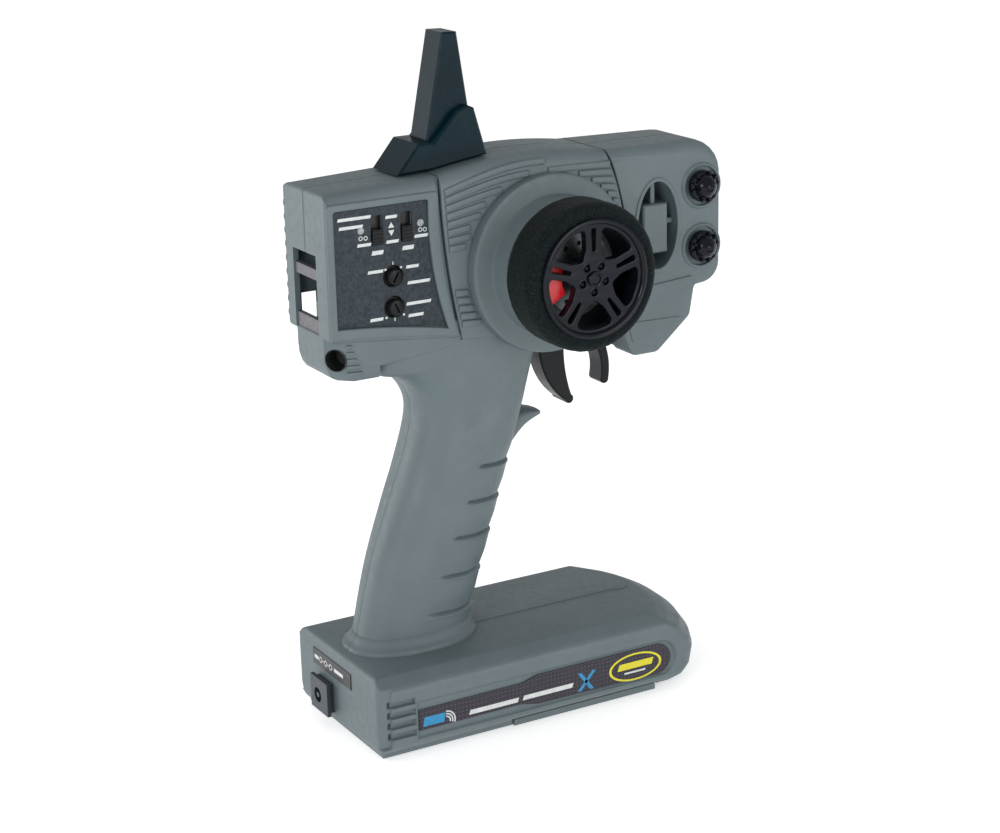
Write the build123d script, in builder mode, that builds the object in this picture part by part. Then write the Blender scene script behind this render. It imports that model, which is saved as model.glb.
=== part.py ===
from build123d import *
import os
from math import cos, radians, sin

# Pistol-grip radio transmitter with a steering wheel on its near side.
# Millimetres. +X points forward, +Z up, -Y is the wheel side. The origin is the centre of
# the flat underside of the base, below the grip.

os.makedirs("parts", exist_ok=True)

# ---------------------------------------------------------------- driving dimensions
WALL = 2.0                 # moulded shell thickness

HEAD_HALF = 16.5           # half width of the head
HEAD_REAR = -71.0          # rear face of the head
HEAD_FRONT = 84.0          # front face of the head
SHOULDER_R = 5.0           # rounding of the head's upper long edges
REAR_SEAM_X = -27.5        # seam between rear box and middle of the head
FRONT_SEAM_X = 42.5        # seam between the middle and the front box

BASE_REAR = -67.0
BASE_HALF = 33.5           # half width at the side bands
DECK_HALF = 28.5           # half width of the flat deck
DECK_Z = 30.0
BAND_Z = 27.0              # height where the shoulder meets the side band
NOSE_AXIS_X = 17.0         # the rounded nose turns about this upright axis
NOSE_R = 55.0              # reach of the nose from that axis
PLATE_T = 2.6              # thickness of the bottom plate

WHEEL_X = 12.0             # steering axis
WHEEL_Z = 162.6
TYRE_R = 25.6
TYRE_BACK = -31.0
TYRE_FRONT = -47.0
RIM_R = 20.4
BOSS_R = 31.1
BOSS_Y = -20.8             # face of the large step of the wheel boss
NECK_R = 24.0
NECK_Y = -29.4             # face of the small step
SHAFT_R = 3.0
RUNNING = 0.06             # radial clearance of a running fit

PIVOT_X = 32.0             # trigger pivot
PIVOT_Z = 140.0
TRIGGER_HALF = 4.6

CELL_R = 7.15              # AA cells
CELL_LEN = 49.0
CELL_PITCH = 14.8
CELL_Z = 12.6
CELL_X = 16.0              # middle of the battery pack

TRIM_X = 75.8
TRIM_ZS = (181.5, 159.8)   # steering trim above, throttle trim below
RATE_X = -47.0
RATE_ZS = (165.6, 155.2)   # steering rate above, throttle rate below
SWITCH_XS = (-52.4, -41.5)  # throttle reverse, steering reverse
SWITCH_Z = 181.8
SWITCH_SLOT = (4.4, 10.0)
LAMP_XS = (-58.3, -36.3)
LAMP_Z = 182.3

ANTENNA_HALF = 9.5
MAST_HALF = 6.0
MAST_TOP = 242.5


# ---------------------------------------------------------------- outlines, side view
def rear_case_outline():
    """Rear box of the head with its curved front seam and hollowed lower edge."""
    with BuildLine() as outline:
        Line((HEAD_REAR, 146), (HEAD_REAR, 195.4))
        Line((HEAD_REAR, 195.4), (REAR_SEAM_X - 1.5, 197.2))
        ThreePointArc((REAR_SEAM_X - 1.5, 197.2), (REAR_SEAM_X + 0.6, 170), (-22, 140.6))
        ThreePointArc((-22, 140.6), (-47, 143.4), (HEAD_REAR, 146))
    return outline.edges()


def middle_outline():
    """Middle of the head, reaching back under the rear box as a wedge."""
    with BuildLine() as outline:
        ThreePointArc((REAR_SEAM_X - 1.4, 197.2), (8, 200.7), (36.5, 198.4))
        ThreePointArc((36.5, 198.4), (FRONT_SEAM_X + 0.7, 176), (FRONT_SEAM_X - 0.5, 131.6))
        Line((FRONT_SEAM_X - 0.5, 131.6), (-55.5, 131.6))
        Line((-55.5, 131.6), (-60.5, 144.7))
        ThreePointArc((-60.5, 144.7), (-47, 143.3), (-21.9, 140.5))
        ThreePointArc((-21.9, 140.5), (REAR_SEAM_X + 0.7, 170), (REAR_SEAM_X - 1.4, 197.2))
    return outline.edges()


def front_case_outline():
    """Front box, and the leg that guards the triggers, with its corners still sharp."""
    with BuildLine() as outline:
        Polyline((36.6, 198.4), (HEAD_FRONT, 197.8), (HEAD_FRONT, 146.6), (73.4, 145.6),
                 (71.4, 134.8), (57.5, 123.2), (46.4, 123.2), (FRONT_SEAM_X - 0.4, 131.6))
        ThreePointArc((FRONT_SEAM_X - 0.4, 131.6), (FRONT_SEAM_X + 0.8, 176), (36.6, 198.4))
    return outline.edges()


# corner of the front box, and its rounding
FRONT_CORNERS = (
    ((HEAD_FRONT, 197.8), 11.0),
    ((HEAD_FRONT, 146.6), 7.4),
    ((71.4, 134.8), 3.0),
    ((57.5, 123.2), 3.0),
    ((46.4, 123.2), 4.0),
)


def head_solid(outline, half, inset, top_edge_z, shoulder, corners=()):
    """An outline drawn to both sides of the middle plane, with rounded upper shoulders."""
    with BuildPart() as body:
        with BuildSketch(Plane.XZ) as side_view:
            make_face(outline())
            for corner, radius in corners:
                nearest = side_view.vertices().sort_by_distance(Vector(*corner))[0]
                fillet(nearest, radius=radius)
            if inset:
                offset(amount=-inset, kind=Kind.ARC)
        extrude(amount=half - inset, both=True)
        sides = body.faces().filter_by(Axis.Y)
        rims = sides.edges().filter_by(lambda edge: edge.center().Z > top_edge_z)
        fillet(rims, radius=shoulder)
    return body.part


# ---------------------------------------------------------------- the grip
# Each section: height, rear edge, front edge, half width.
GRIP_SECTIONS = (
    (DECK_Z, -59.6, -16.6, 13.6),
    (47.0, -56.2, -12.4, 13.8),
    (62.0, -52.0, -7.6, 14.2),
    (80.0, -45.6, -2.2, 14.8),
    (96.0, -39.2, 3.2, 15.2),
    (112.0, -34.6, 8.0, 15.0),
    (122.0, -37.5, 10.6, 14.6),
    (129.0, -47.0, 12.0, 14.4),
    (134.0, -54.0, 13.0, 14.4),
)


def grip_solid(inset):
    """A loft through rounded upright-stacked sections, thinned by the inset on all sides."""
    with BuildPart() as grip:
        for height, rear, front, half in GRIP_SECTIONS:
            middle = (rear + front) / 2
            with BuildSketch(Plane.XY.offset(height)):
                with Locations((middle, 0)):
                    RectangleRounded(front - rear - 2 * inset, 2 * (half - inset),
                                     (half - inset) * 0.93)
        loft(ruled=True)
    return grip.part


def foot_flare():
    """The rounded ring where the grip meets the deck."""
    with BuildPart() as flare:
        with BuildSketch(Plane.XY.offset(DECK_Z)):
            with Locations((-38.4, 0)):
                RectangleRounded(49.0, 32.0, 15.4)
        extrude(amount=4.0, taper=28)
        fillet(flare.edges().group_by(Axis.Z)[-1], radius=0.6)
    return flare.part


# ---------------------------------------------------------------- housing halves
# x, z and reach from the middle plane of each screw post
SCREW_POINTS = ((-12.0, 188.0, 15.5), (32.0, 188.0, 15.5), (-14.0, 122.0, 13.4), (-36.0, 52.0, 12.8))


def housing_shell():
    """The main shell before it is parted: the middle of the head and the whole grip."""
    outer_grip = grip_solid(0)
    inner_grip = grip_solid(WALL)
    middle_outer = head_solid(middle_outline, HEAD_HALF, 0, 192, SHOULDER_R)
    middle_inner = head_solid(middle_outline, HEAD_HALF, WALL, 192, SHOULDER_R - WALL)
    with BuildPart() as shell:
        add(middle_outer)
        add(outer_grip)
        add(foot_flare())
        # finger spur below the triggers
        with BuildSketch(Plane.XZ):
            with BuildLine():
                Line((0, 108), (8, 107.8))
                Line((8, 107.8), (15.4, 105.9))
                ThreePointArc((15.4, 105.9), (16.6, 104.4), (15.0, 103.2))
                ThreePointArc((15.0, 103.2), (7.4, 100.4), (2.4, 95.0))
                Line((2.4, 95.0), (0, 108))
            make_face()
        extrude(amount=7.0, both=True)
        add(middle_inner, mode=Mode.SUBTRACT)
        add(inner_grip, mode=Mode.SUBTRACT)
        # wire way down into the base
        with Locations((-38, 0, DECK_Z)):
            Box(30, 16, 12, mode=Mode.SUBTRACT)
        # slot in the underside for the triggers
        with Locations((28.2, 0, 131)):
            Box(31, 2 * TRIGGER_HALF + 2.0, 14, mode=Mode.SUBTRACT)
        # screw posts between the halves
        for x, z, reach in SCREW_POINTS:
            with Locations(Location((x, 0, z), (90, 0, 0))):
                Cylinder(3.2, 2 * reach)
        for x, z, reach in SCREW_POINTS:
            with Locations(Location((x, 0, z), (90, 0, 0))):
                Cylinder(1.3, 22, mode=Mode.SUBTRACT)
            with Locations(Location((x, HEAD_HALF - 1.5, z), (90, 0, 0))):
                Cylinder(2.6, 12, mode=Mode.SUBTRACT)
    return shell.part


def half_of(whole, near):
    """The near or far half of a moulding that is parted along the middle plane."""
    with BuildPart() as half:
        add(whole)
        split(bisect_by=Plane.XZ, keep=Keep.TOP if near else Keep.BOTTOM)
    return half.part


housing_whole = housing_shell()
with BuildPart() as housing_right:
    add(half_of(housing_whole, True))
    # hole for the steering shaft and its bearing
    with Locations(Location((WHEEL_X, -HEAD_HALF, WHEEL_Z), (90, 0, 0))):
        Cylinder(9.0, 10, mode=Mode.SUBTRACT)
with BuildPart() as housing_left:
    add(half_of(housing_whole, False))

# ---------------------------------------------------------------- rear box of the head
RECESS_Y = (-7.7, 10.0)    # switch recess in the rear face
RECESS_Z = (146.0, 174.0)
RECESS_DEPTH = 10.0
LABEL_DEPTH = 0.8


def panel_outline():
    """Edge of the dark control label: straight top and rear, waisted front, bowed foot."""
    with BuildLine() as outline:
        Line((-68.2, 150.6), (-68.2, 189.6))
        Line((-68.2, 189.6), (-33.6, 189.8))
        ThreePointArc((-33.6, 189.8), (-32.4, 166), (-27.6, 145.4))
        ThreePointArc((-27.6, 145.4), (-48, 148.8), (-68.2, 150.6))
    return outline.edges()


LUG_HOLE_R = 4.0
LUG_HOLE_DEPTH = 5.5


def rear_case_shell():
    """The rear box before it is parted, with the strap lug and the switch recess."""
    outer = head_solid(rear_case_outline, HEAD_HALF, 0, 192, SHOULDER_R)
    inner = head_solid(rear_case_outline, HEAD_HALF, WALL, 192, SHOULDER_R - WALL)
    recess_mid_y = (RECESS_Y[0] + RECESS_Y[1]) / 2
    recess_mid_z = (RECESS_Z[0] + RECESS_Z[1]) / 2
    recess_w = RECESS_Y[1] - RECESS_Y[0]
    recess_h = RECESS_Z[1] - RECESS_Z[0]
    with BuildPart() as box:
        add(outer)
        add(inner, mode=Mode.SUBTRACT)
        # walls of the switch recess, then the recess itself
        with Locations((HEAD_REAR + 6, recess_mid_y, recess_mid_z + 0.4)):
            Box(12, recess_w + 3, recess_h + 1.6)
        with Locations((HEAD_REAR + 4.9, recess_mid_y, recess_mid_z)):
            Box(RECESS_DEPTH, recess_w, recess_h, mode=Mode.SUBTRACT)
        # window from the recess out through the far wall
        with Locations((HEAD_REAR + 7.5, 14, 151.5)):
            Box(7, 12, 10, mode=Mode.SUBTRACT)
        # opening behind the slider
        with Locations((HEAD_REAR + 11, 1.2, 159.5)):
            Box(4, 4.6, 8.4, mode=Mode.SUBTRACT)
        # strap lug under the rear corners
        with BuildSketch(Plane.XY.offset(132.0)):
            Polygon((-70.8, -10), (-65.5, -16.3), (-61.0, -16.3), (-61.0, 16.3),
                    (-65.5, 16.3), (-70.8, 10), align=None)
        extrude(amount=13.6)
        # blind cord hole in the near slanted corner of the lug
        with BuildSketch(Plane(origin=(-68.53, -13.47, 139.2), z_dir=(-0.765, -0.644, 0))):
            Circle(LUG_HOLE_R)
        extrude(amount=-LUG_HOLE_DEPTH, mode=Mode.SUBTRACT)
        # antenna wire passage
        with Locations((-33, 0, 196)):
            Box(8, 8, 8, mode=Mode.SUBTRACT)
    return box.part


rear_case_whole = rear_case_shell()
with BuildPart() as rear_case_right:
    add(half_of(rear_case_whole, True))
    with BuildSketch(Plane.XZ.offset(HEAD_HALF - LABEL_DEPTH)):
        make_face(panel_outline())
    extrude(amount=4, mode=Mode.SUBTRACT)
    for slot_x in SWITCH_XS:
        with Locations((slot_x, -HEAD_HALF, SWITCH_Z)):
            Box(SWITCH_SLOT[0], 8, SWITCH_SLOT[1], mode=Mode.SUBTRACT)
    for knob_z in RATE_ZS:
        with Locations(Location((RATE_X, -HEAD_HALF, knob_z), (90, 0, 0))):
            Cylinder(3.8, 8, mode=Mode.SUBTRACT)
    for lamp_x in LAMP_XS:
        with Locations(Location((lamp_x, -HEAD_HALF, LAMP_Z), (90, 0, 0))):
            Cylinder(1.6, 8, mode=Mode.SUBTRACT)
with BuildPart() as rear_case_left:
    add(half_of(rear_case_whole, False))

with BuildPart() as panel_label:
    with BuildSketch(Plane.XZ.offset(HEAD_HALF - LABEL_DEPTH)):
        make_face(panel_outline())
        offset(amount=-0.15, kind=Kind.ARC)
        for slot_x in SWITCH_XS:
            with Locations((slot_x, SWITCH_Z)):
                Rectangle(*SWITCH_SLOT, mode=Mode.SUBTRACT)
        for knob_z in RATE_ZS:
            with Locations((RATE_X, knob_z)):
                Circle(3.8, mode=Mode.SUBTRACT)
        for lamp_x in LAMP_XS:
            with Locations((lamp_x, LAMP_Z)):
                Circle(1.3, mode=Mode.SUBTRACT)
    extrude(amount=0.4)

with BuildPart() as switch_guard:
    for bar_z, bar_h in ((167.2, 3.6), (149.4, 4.8)):
        with Locations((HEAD_REAR + 1.6, (RECESS_Y[0] + RECESS_Y[1]) / 2, bar_z)):
            Box(1.8, RECESS_Y[1] - RECESS_Y[0], bar_h)

# ---------------------------------------------------------------- front box of the head
OVAL_X = 57.4
OVAL_Z = 169.4
OVAL_RX = 8.2
OVAL_RZ = 15.6


def front_case_shell():
    """The front box before it is parted, with the oval opening right through it."""
    outer = head_solid(front_case_outline, HEAD_HALF, 0, 192, SHOULDER_R, FRONT_CORNERS)
    inner = head_solid(front_case_outline, HEAD_HALF, WALL, 192, SHOULDER_R - WALL,
                       FRONT_CORNERS)
    with BuildPart() as box:
        add(outer)
        add(inner, mode=Mode.SUBTRACT)
        with BuildSketch(Plane.XZ):
            with Locations((OVAL_X, OVAL_Z)):
                Ellipse(OVAL_RX + 1.4, OVAL_RZ + 1.4)
        extrude(amount=HEAD_HALF - 0.5, both=True)
        with BuildSketch(Plane.XZ):
            with Locations((OVAL_X, OVAL_Z)):
                Ellipse(OVAL_RX, OVAL_RZ)
        extrude(amount=HEAD_HALF + 1, both=True, mode=Mode.SUBTRACT)
        # channel in the leg for the brake finger
        with Locations((45.3, 0, 128)):
            Box(8.6, 2 * TRIGGER_HALF + 2.0, 22, mode=Mode.SUBTRACT)
    return box.part


front_case_whole = front_case_shell()
with BuildPart() as front_case_right:
    add(half_of(front_case_whole, True))
    for trim_z in TRIM_ZS:
        with Locations(Location((TRIM_X, -HEAD_HALF, trim_z), (90, 0, 0))):
            Cylinder(7.2, 1.6, mode=Mode.SUBTRACT)
            Cylinder(2.0, 12, mode=Mode.SUBTRACT)
with BuildPart() as front_case_left:
    add(half_of(front_case_whole, False))

# blanking block that stands in the oval opening on a rib and a peg
with BuildPart() as recess_block:
    with Locations((OVAL_X - 0.2, 0, OVAL_Z - 1.4)):
        Box(10.2, 31.0, 17.6)
    with Locations((OVAL_X - 0.2, 0, OVAL_Z + 11.3)):
        Box(1.6, 27.0, 8.2)
    with Locations((OVAL_X + 6.2, 0, OVAL_Z + 0.5)):
        Box(3.8, 27.0, 1.6)
    chamfer(recess_block.faces().sort_by(Axis.Y)[0].edges(), length=0.5)

# ---------------------------------------------------------------- wheel boss
with BuildPart() as wheel_boss:
    with BuildSketch(Plane.XZ.offset(HEAD_HALF)):
        with Locations((WHEEL_X, WHEEL_Z)):
            Circle(BOSS_R)
    extrude(amount=-BOSS_Y - HEAD_HALF)
    fillet(wheel_boss.edges().group_by(Axis.Y)[0], radius=1.2)
    with BuildSketch(Plane.XZ.offset(-BOSS_Y)):
        with Locations((WHEEL_X, WHEEL_Z)):
            Circle(NECK_R)
    extrude(amount=BOSS_Y - NECK_Y)
    fillet(wheel_boss.edges().group_by(Axis.Y)[0], radius=1.0)
    # hollow behind, and a bearing sleeve in the middle
    with BuildSketch(Plane.XZ.offset(HEAD_HALF)):
        with Locations((WHEEL_X, WHEEL_Z)):
            Circle(NECK_R - WALL)
            Circle(6.0, mode=Mode.SUBTRACT)
    extrude(amount=-NECK_Y - WALL - HEAD_HALF, mode=Mode.SUBTRACT)
    with Locations(Location((WHEEL_X, -20, WHEEL_Z), (90, 0, 0))):
        Cylinder(SHAFT_R + RUNNING, 30, mode=Mode.SUBTRACT)

# ---------------------------------------------------------------- steering wheel
def wheel_plane(y):
    """Plane square to the steering axis, looking from the driver's side, centred on it."""
    return Plane(origin=(WHEEL_X, y, WHEEL_Z), x_dir=(1, 0, 0), z_dir=(0, -1, 0))


with BuildPart() as steering_shaft:
    with BuildSketch(wheel_plane(9.0)):
        Circle(SHAFT_R)
    extrude(amount=9.0 + 41.0)
    with Locations(Location((WHEEL_X, -39, WHEEL_Z), (90, 0, 0))):
        Cylinder(1.2, 10, mode=Mode.SUBTRACT)

with BuildPart() as steering_arm:
    with BuildSketch(wheel_plane(-4.0)):
        Circle(5.5)
        with Locations((0, -7)):
            Rectangle(4, 10)
        Circle(SHAFT_R, mode=Mode.SUBTRACT)
    extrude(amount=4.0)

with BuildPart() as foam_tyre:
    with BuildSketch(wheel_plane(TYRE_BACK)):
        Circle(TYRE_R)
        Circle(RIM_R - 1.0, mode=Mode.SUBTRACT)
    extrude(amount=TYRE_BACK - TYRE_FRONT)
    outer_rims = foam_tyre.edges().filter_by(GeomType.CIRCLE).filter_by(lambda edge: edge.radius > TYRE_R - 0.1)
    fillet(outer_rims, radius=2.6)

SPOKE_COUNT = 5
HUB_R = 6.6
RIM_FACE = -48.2
with BuildPart() as wheel_rim:
    with BuildSketch(wheel_plane(TYRE_BACK - 0.6)):
        Circle(RIM_R - 1.0)
        Circle(RIM_R - 2.4, mode=Mode.SUBTRACT)
    extrude(amount=TYRE_BACK - 0.6 - TYRE_FRONT)
    with BuildSketch(wheel_plane(TYRE_FRONT)):
        Circle(RIM_R)
        Circle(RIM_R - 2.4, mode=Mode.SUBTRACT)
    extrude(amount=TYRE_FRONT - RIM_FACE)
    with BuildSketch(wheel_plane(-43.6)):
        Circle(HUB_R)
        with PolarLocations(0, SPOKE_COUNT, start_angle=90):
            with Locations((12.4, 1.9), (12.4, -1.9)):
                Rectangle(12.6, 2.0)
    extrude(amount=3.2)
    with BuildSketch(wheel_plane(-34.0)):
        Circle(5.0)
    extrude(amount=10.0)
    with Locations(Location((WHEEL_X, -36, WHEEL_Z), (90, 0, 0))):
        Cylinder(SHAFT_R, 10, mode=Mode.SUBTRACT)
    with Locations(Location((WHEEL_X, -45, WHEEL_Z), (90, 0, 0))):
        Cylinder(1.5, 12, mode=Mode.SUBTRACT)

with BuildPart() as brake_disc:
    with BuildSketch(wheel_plane(-36.0)):
        Circle(13.6)
        Circle(5.0, mode=Mode.SUBTRACT)
        with PolarLocations(10.4, 12):
            Circle(0.8, mode=Mode.SUBTRACT)
    extrude(amount=1.4)

with BuildPart() as brake_caliper:
    with BuildSketch(wheel_plane(-37.6)):
        with BuildLine():
            CenterArc((0, 0), 16.8, 150, 62)
            CenterArc((0, 0), 9.4, 150, 62)
            Line((16.8 * cos(radians(150)), 16.8 * sin(radians(150))),
                 (9.4 * cos(radians(150)), 9.4 * sin(radians(150))))
            Line((16.8 * cos(radians(212)), 16.8 * sin(radians(212))),
                 (9.4 * cos(radians(212)), 9.4 * sin(radians(212))))
        make_face()
    extrude(amount=4.0)

with BuildPart() as lug_nuts:
    with BuildSketch(wheel_plane(-46.8)):
        with PolarLocations(4.6, SPOKE_COUNT, start_angle=54):
            RegularPolygon(0.9, 6)
    extrude(amount=0.8)

with BuildPart() as wheel_screw:
    with BuildSketch(wheel_plane(-36.0)):
        Circle(1.2)
    extrude(amount=8.0)
    with BuildSketch(wheel_plane(-44.0)):
        Circle(1.45)
    extrude(amount=2.0)

with BuildPart() as hub_cap:
    with BuildSketch(wheel_plane(-46.8)):
        Circle(2.4)
    extrude(amount=1.2)
    fillet(hub_cap.edges().group_by(Axis.Y)[0], radius=0.4)

with BuildPart() as steering_pot:
    with BuildSketch(wheel_plane(10.0)):
        Circle(8.0)
        Circle(SHAFT_R + RUNNING, mode=Mode.SUBTRACT)
    extrude(amount=6.0)
    with Locations((WHEEL_X, 7, WHEEL_Z - 8)):
        Box(9, 5, 5)


def coil_spring(radius, wire, turns, pitch):
    """A plain helical spring along its own Z."""
    with BuildPart() as spring:
        with BuildLine() as path:
            Helix(pitch=pitch, height=pitch * turns, radius=radius)
        with BuildSketch(Plane(origin=path.line @ 0, z_dir=path.line % 0)):
            Circle(wire)
        sweep()
    return spring.part


with BuildPart() as steering_spring:
    with Locations(Location((WHEEL_X, -8.8, WHEEL_Z), (90, 0, 0))):
        add(coil_spring(4.6, 0.45, 5, 1.3))

# ---------------------------------------------------------------- trigger
def pivot_plane(y):
    """Plane square to the trigger pivot, centred on it."""
    return Plane(origin=(PIVOT_X, y, PIVOT_Z), x_dir=(1, 0, 0), z_dir=(0, -1, 0))


with BuildPart() as trigger:
    with BuildSketch(pivot_plane(0)):
        Circle(6.5)
        # throttle crescent towards the grip
        with BuildLine():
            Line((-4.0, 5.0), (-16.5, -8.0))
            ThreePointArc((-16.5, -8.0), (-14.2, -22.4), (-6.4, -32.4))
            ThreePointArc((-6.4, -32.4), (-3.6, -33.2), (-3.4, -31.0))
            ThreePointArc((-3.4, -31.0), (-6.0, -20.0), (-6.2, -9.0))
            Line((-6.2, -9.0), (5.0, -4.0))
            Line((5.0, -4.0), (-4.0, 5.0))
        make_face()
        # brake hook towards the guard leg
        with BuildLine():
            Line((-2.0, -6.0), (6.0, -13.0))
            ThreePointArc((6.0, -13.0), (9.0, -20.0), (8.9, -27.0))
            ThreePointArc((8.9, -27.0), (10.4, -28.9), (12.2, -27.2))
            ThreePointArc((12.2, -27.2), (12.2, -18.6), (8.6, -9.6))
            Line((8.6, -9.6), (5.0, 2.0))
            Line((5.0, 2.0), (-2.0, -6.0))
        make_face()
        Circle(2.5, mode=Mode.SUBTRACT)
    extrude(amount=TRIGGER_HALF, both=True)
    fillet(trigger.edges().filter_by(lambda edge: edge.center().Z < 131 and edge.length > 6
                                     and abs(edge.center().Y) > TRIGGER_HALF - 0.1), radius=0.9)

with BuildPart() as trigger_shaft:
    with BuildSketch(pivot_plane(13.0)):
        Circle(2.5)
    extrude(amount=13.0 + 12.5)

with BuildPart() as throttle_pot:
    with BuildSketch(pivot_plane(13.8)):
        Circle(6.4)
        Circle(2.5 + RUNNING, mode=Mode.SUBTRACT)
    extrude(amount=6.0)

with BuildPart() as trigger_spring:
    with Locations(Location((PIVOT_X, -6.0, PIVOT_Z), (90, 0, 0))):
        add(coil_spring(4.0, 0.4, 4, 1.2))

# ---------------------------------------------------------------- trim knobs and pots
def trim_knob(z):
    """Domed trim knob with grip nubs round its edge and a stem into its potentiometer."""
    with BuildPart() as knob:
        with BuildSketch(Plane(origin=(TRIM_X, -16.9, z), x_dir=(1, 0, 0), z_dir=(0, -1, 0))):
            Circle(5.6)
        extrude(amount=5.8)
        fillet(knob.edges().group_by(Axis.Y)[0], radius=2.6)
        with BuildSketch(Plane(origin=(TRIM_X, -18.2, z), x_dir=(1, 0, 0), z_dir=(0, -1, 0))):
            with PolarLocations(5.5, 6, start_angle=30):
                Circle(0.9)
        extrude(amount=1.6)
        with BuildSketch(Plane(origin=(TRIM_X, -10.0, z), x_dir=(1, 0, 0), z_dir=(0, -1, 0))):
            Circle(1.5)
        extrude(amount=7.4)
    return knob.part


with BuildPart() as steering_trim_knob:
    add(trim_knob(TRIM_ZS[0]))
with BuildPart() as throttle_trim_knob:
    add(trim_knob(TRIM_ZS[1]))

with BuildPart() as trim_pots:
    for pot_z in TRIM_ZS:
        with BuildSketch(Plane(origin=(TRIM_X, -7.0, pot_z), x_dir=(1, 0, 0), z_dir=(0, -1, 0))):
            Rectangle(9.0, 10.0)
            Circle(1.5 + RUNNING, mode=Mode.SUBTRACT)
        extrude(amount=5.0)


# ---------------------------------------------------------------- panel controls
def rate_knob(z):
    """Small rate trimmer with a screwdriver slot, almost flush with the label."""
    with BuildPart() as knob:
        with BuildSketch(Plane(origin=(RATE_X, -13.4, z), x_dir=(1, 0, 0), z_dir=(0, -1, 0))):
            Circle(3.3)
        extrude(amount=4.4)
        chamfer(knob.edges().group_by(Axis.Y)[0], length=0.4)
        with Locations(Location((RATE_X, -17.8, z), (0, 25, 0))):
            Box(0.8, 1.6, 7.0, mode=Mode.SUBTRACT)
        with BuildSketch(Plane(origin=(RATE_X, -9.0, z), x_dir=(1, 0, 0), z_dir=(0, -1, 0))):
            Circle(1.2)
        extrude(amount=4.6)
    return knob.part


with BuildPart() as steering_rate_knob:
    add(rate_knob(RATE_ZS[0]))
with BuildPart() as throttle_rate_knob:
    add(rate_knob(RATE_ZS[1]))

with BuildPart() as rate_pots:
    for pot_z in RATE_ZS:
        with BuildSketch(Plane(origin=(RATE_X, -7.6, pot_z), x_dir=(1, 0, 0), z_dir=(0, -1, 0))):
            Rectangle(8.0, 8.0)
            Circle(1.2 + RUNNING, mode=Mode.SUBTRACT)
        extrude(amount=4.8)

SLIDER_H = 5.0
SLIDER_TRAVEL = 4.4


def reverse_slider(x):
    """Ribbed slide switch button, resting at the lower end of its slot."""
    with BuildPart() as slider:
        with Locations((x, -15.2, SWITCH_Z - SWITCH_SLOT[1] / 2 + SLIDER_H / 2 + 0.3)):
            Box(SWITCH_SLOT[0] - 0.5, 3.2, SLIDER_H)
        for step in range(4):
            z = SWITCH_Z - SWITCH_SLOT[1] / 2 + 1.0 + 1.2 * step
            with Locations((x, -16.9, z)):
                Box(SWITCH_SLOT[0] - 0.5, 0.5, 0.5)
    return slider.part


with BuildPart() as throttle_reverse_slider:
    add(reverse_slider(SWITCH_XS[0]))
with BuildPart() as steering_reverse_slider:
    add(reverse_slider(SWITCH_XS[1]))

with BuildPart() as reverse_switch_bodies:
    for switch_x in SWITCH_XS:
        with Locations((switch_x, -10.5, SWITCH_Z)):
            Box(7.0, 5.8, 13.0)

with BuildPart() as indicator_lamps:
    for lamp_x in LAMP_XS:
        with BuildSketch(Plane(origin=(lamp_x, -11.0, LAMP_Z), x_dir=(1, 0, 0), z_dir=(0, -1, 0))):
            Circle(1.2)
        extrude(amount=5.2)
        with BuildSketch(Plane(origin=(lamp_x, -9.5, LAMP_Z), x_dir=(1, 0, 0), z_dir=(0, -1, 0))):
            Circle(1.5)
        extrude(amount=1.6)

with BuildPart() as main_board:
    with Locations((-45.0, -6.6, 170.0)):
        Box(26.0, 1.6, 42.0)

with BuildPart() as radio_module:
    with Locations((-43.0, -3.8, 176.0)):
        Box(22.0, 3.6, 18.0)

# ---------------------------------------------------------------- power switch
with BuildPart() as power_slider:
    with Locations((HEAD_REAR + 7.2, 1.2, 158.0)):
        Box(4.6, 6.0, 5.0)
    with Locations((HEAD_REAR + 11.2, 1.2, 158.0)):
        Box(4.0, 3.6, 3.6)
    chamfer(power_slider.faces().sort_by(Axis.X)[0].edges(), length=0.5)

with BuildPart() as power_switch_body:
    with Locations((HEAD_REAR + 16.4, 1.2, 159.5)):
        Box(6.0, 8.0, 15.0)

# ---------------------------------------------------------------- antenna
with BuildPart() as antenna_base_whole:
    with BuildSketch(Plane.XZ):
        with BuildLine():
            Polyline((-40.6, 197.3), (-32.4, 207.0), (-26.4, 207.0), (-17.6, 216.6),
                     (-13.6, 218.2), (-11.0, 217.0), (-6.4, 200.9), (-16.0, 199.6),
                     (-28.0, 197.8), (-40.6, 197.3))
        make_face()
    extrude(amount=ANTENNA_HALF, both=True)
    chamfer(antenna_base_whole.faces().filter_by(Axis.Y).edges(), length=0.7)
    with Locations((-18.0, 0, 214.0)):
        Box(20.0, 2 * MAST_HALF + 0.1, 26.0, mode=Mode.SUBTRACT)

with BuildPart() as antenna_mast_whole:
    with BuildSketch(Plane.XZ):
        with BuildLine():
            Polyline((-27.8, 202.0), (-27.6, 207.5), (-20.6, MAST_TOP), (-15.0, MAST_TOP - 0.2),
                     (-11.4, 217.5), (-9.0, 202.0), (-27.8, 202.0))
        make_face()
    extrude(amount=MAST_HALF, both=True)
    chamfer(antenna_mast_whole.faces().filter_by(Axis.Y).edges(), length=0.6)
    with Locations((-18.0, 0, 220.0)):
        Box(3.0, 3.0, 37.0, mode=Mode.SUBTRACT)

with BuildPart() as antenna_base_right:
    add(half_of(antenna_base_whole.part, True))
with BuildPart() as antenna_base_left:
    add(half_of(antenna_base_whole.part, False))
with BuildPart() as antenna_mast_right:
    add(half_of(antenna_mast_whole.part, True))
with BuildPart() as antenna_mast_left:
    add(half_of(antenna_mast_whole.part, False))

with BuildPart() as antenna_element:
    with BuildSketch(Plane.XY.offset(204.0)):
        with Locations((-18.0, 0)):
            Circle(0.9)
    extrude(amount=32.0)

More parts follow.
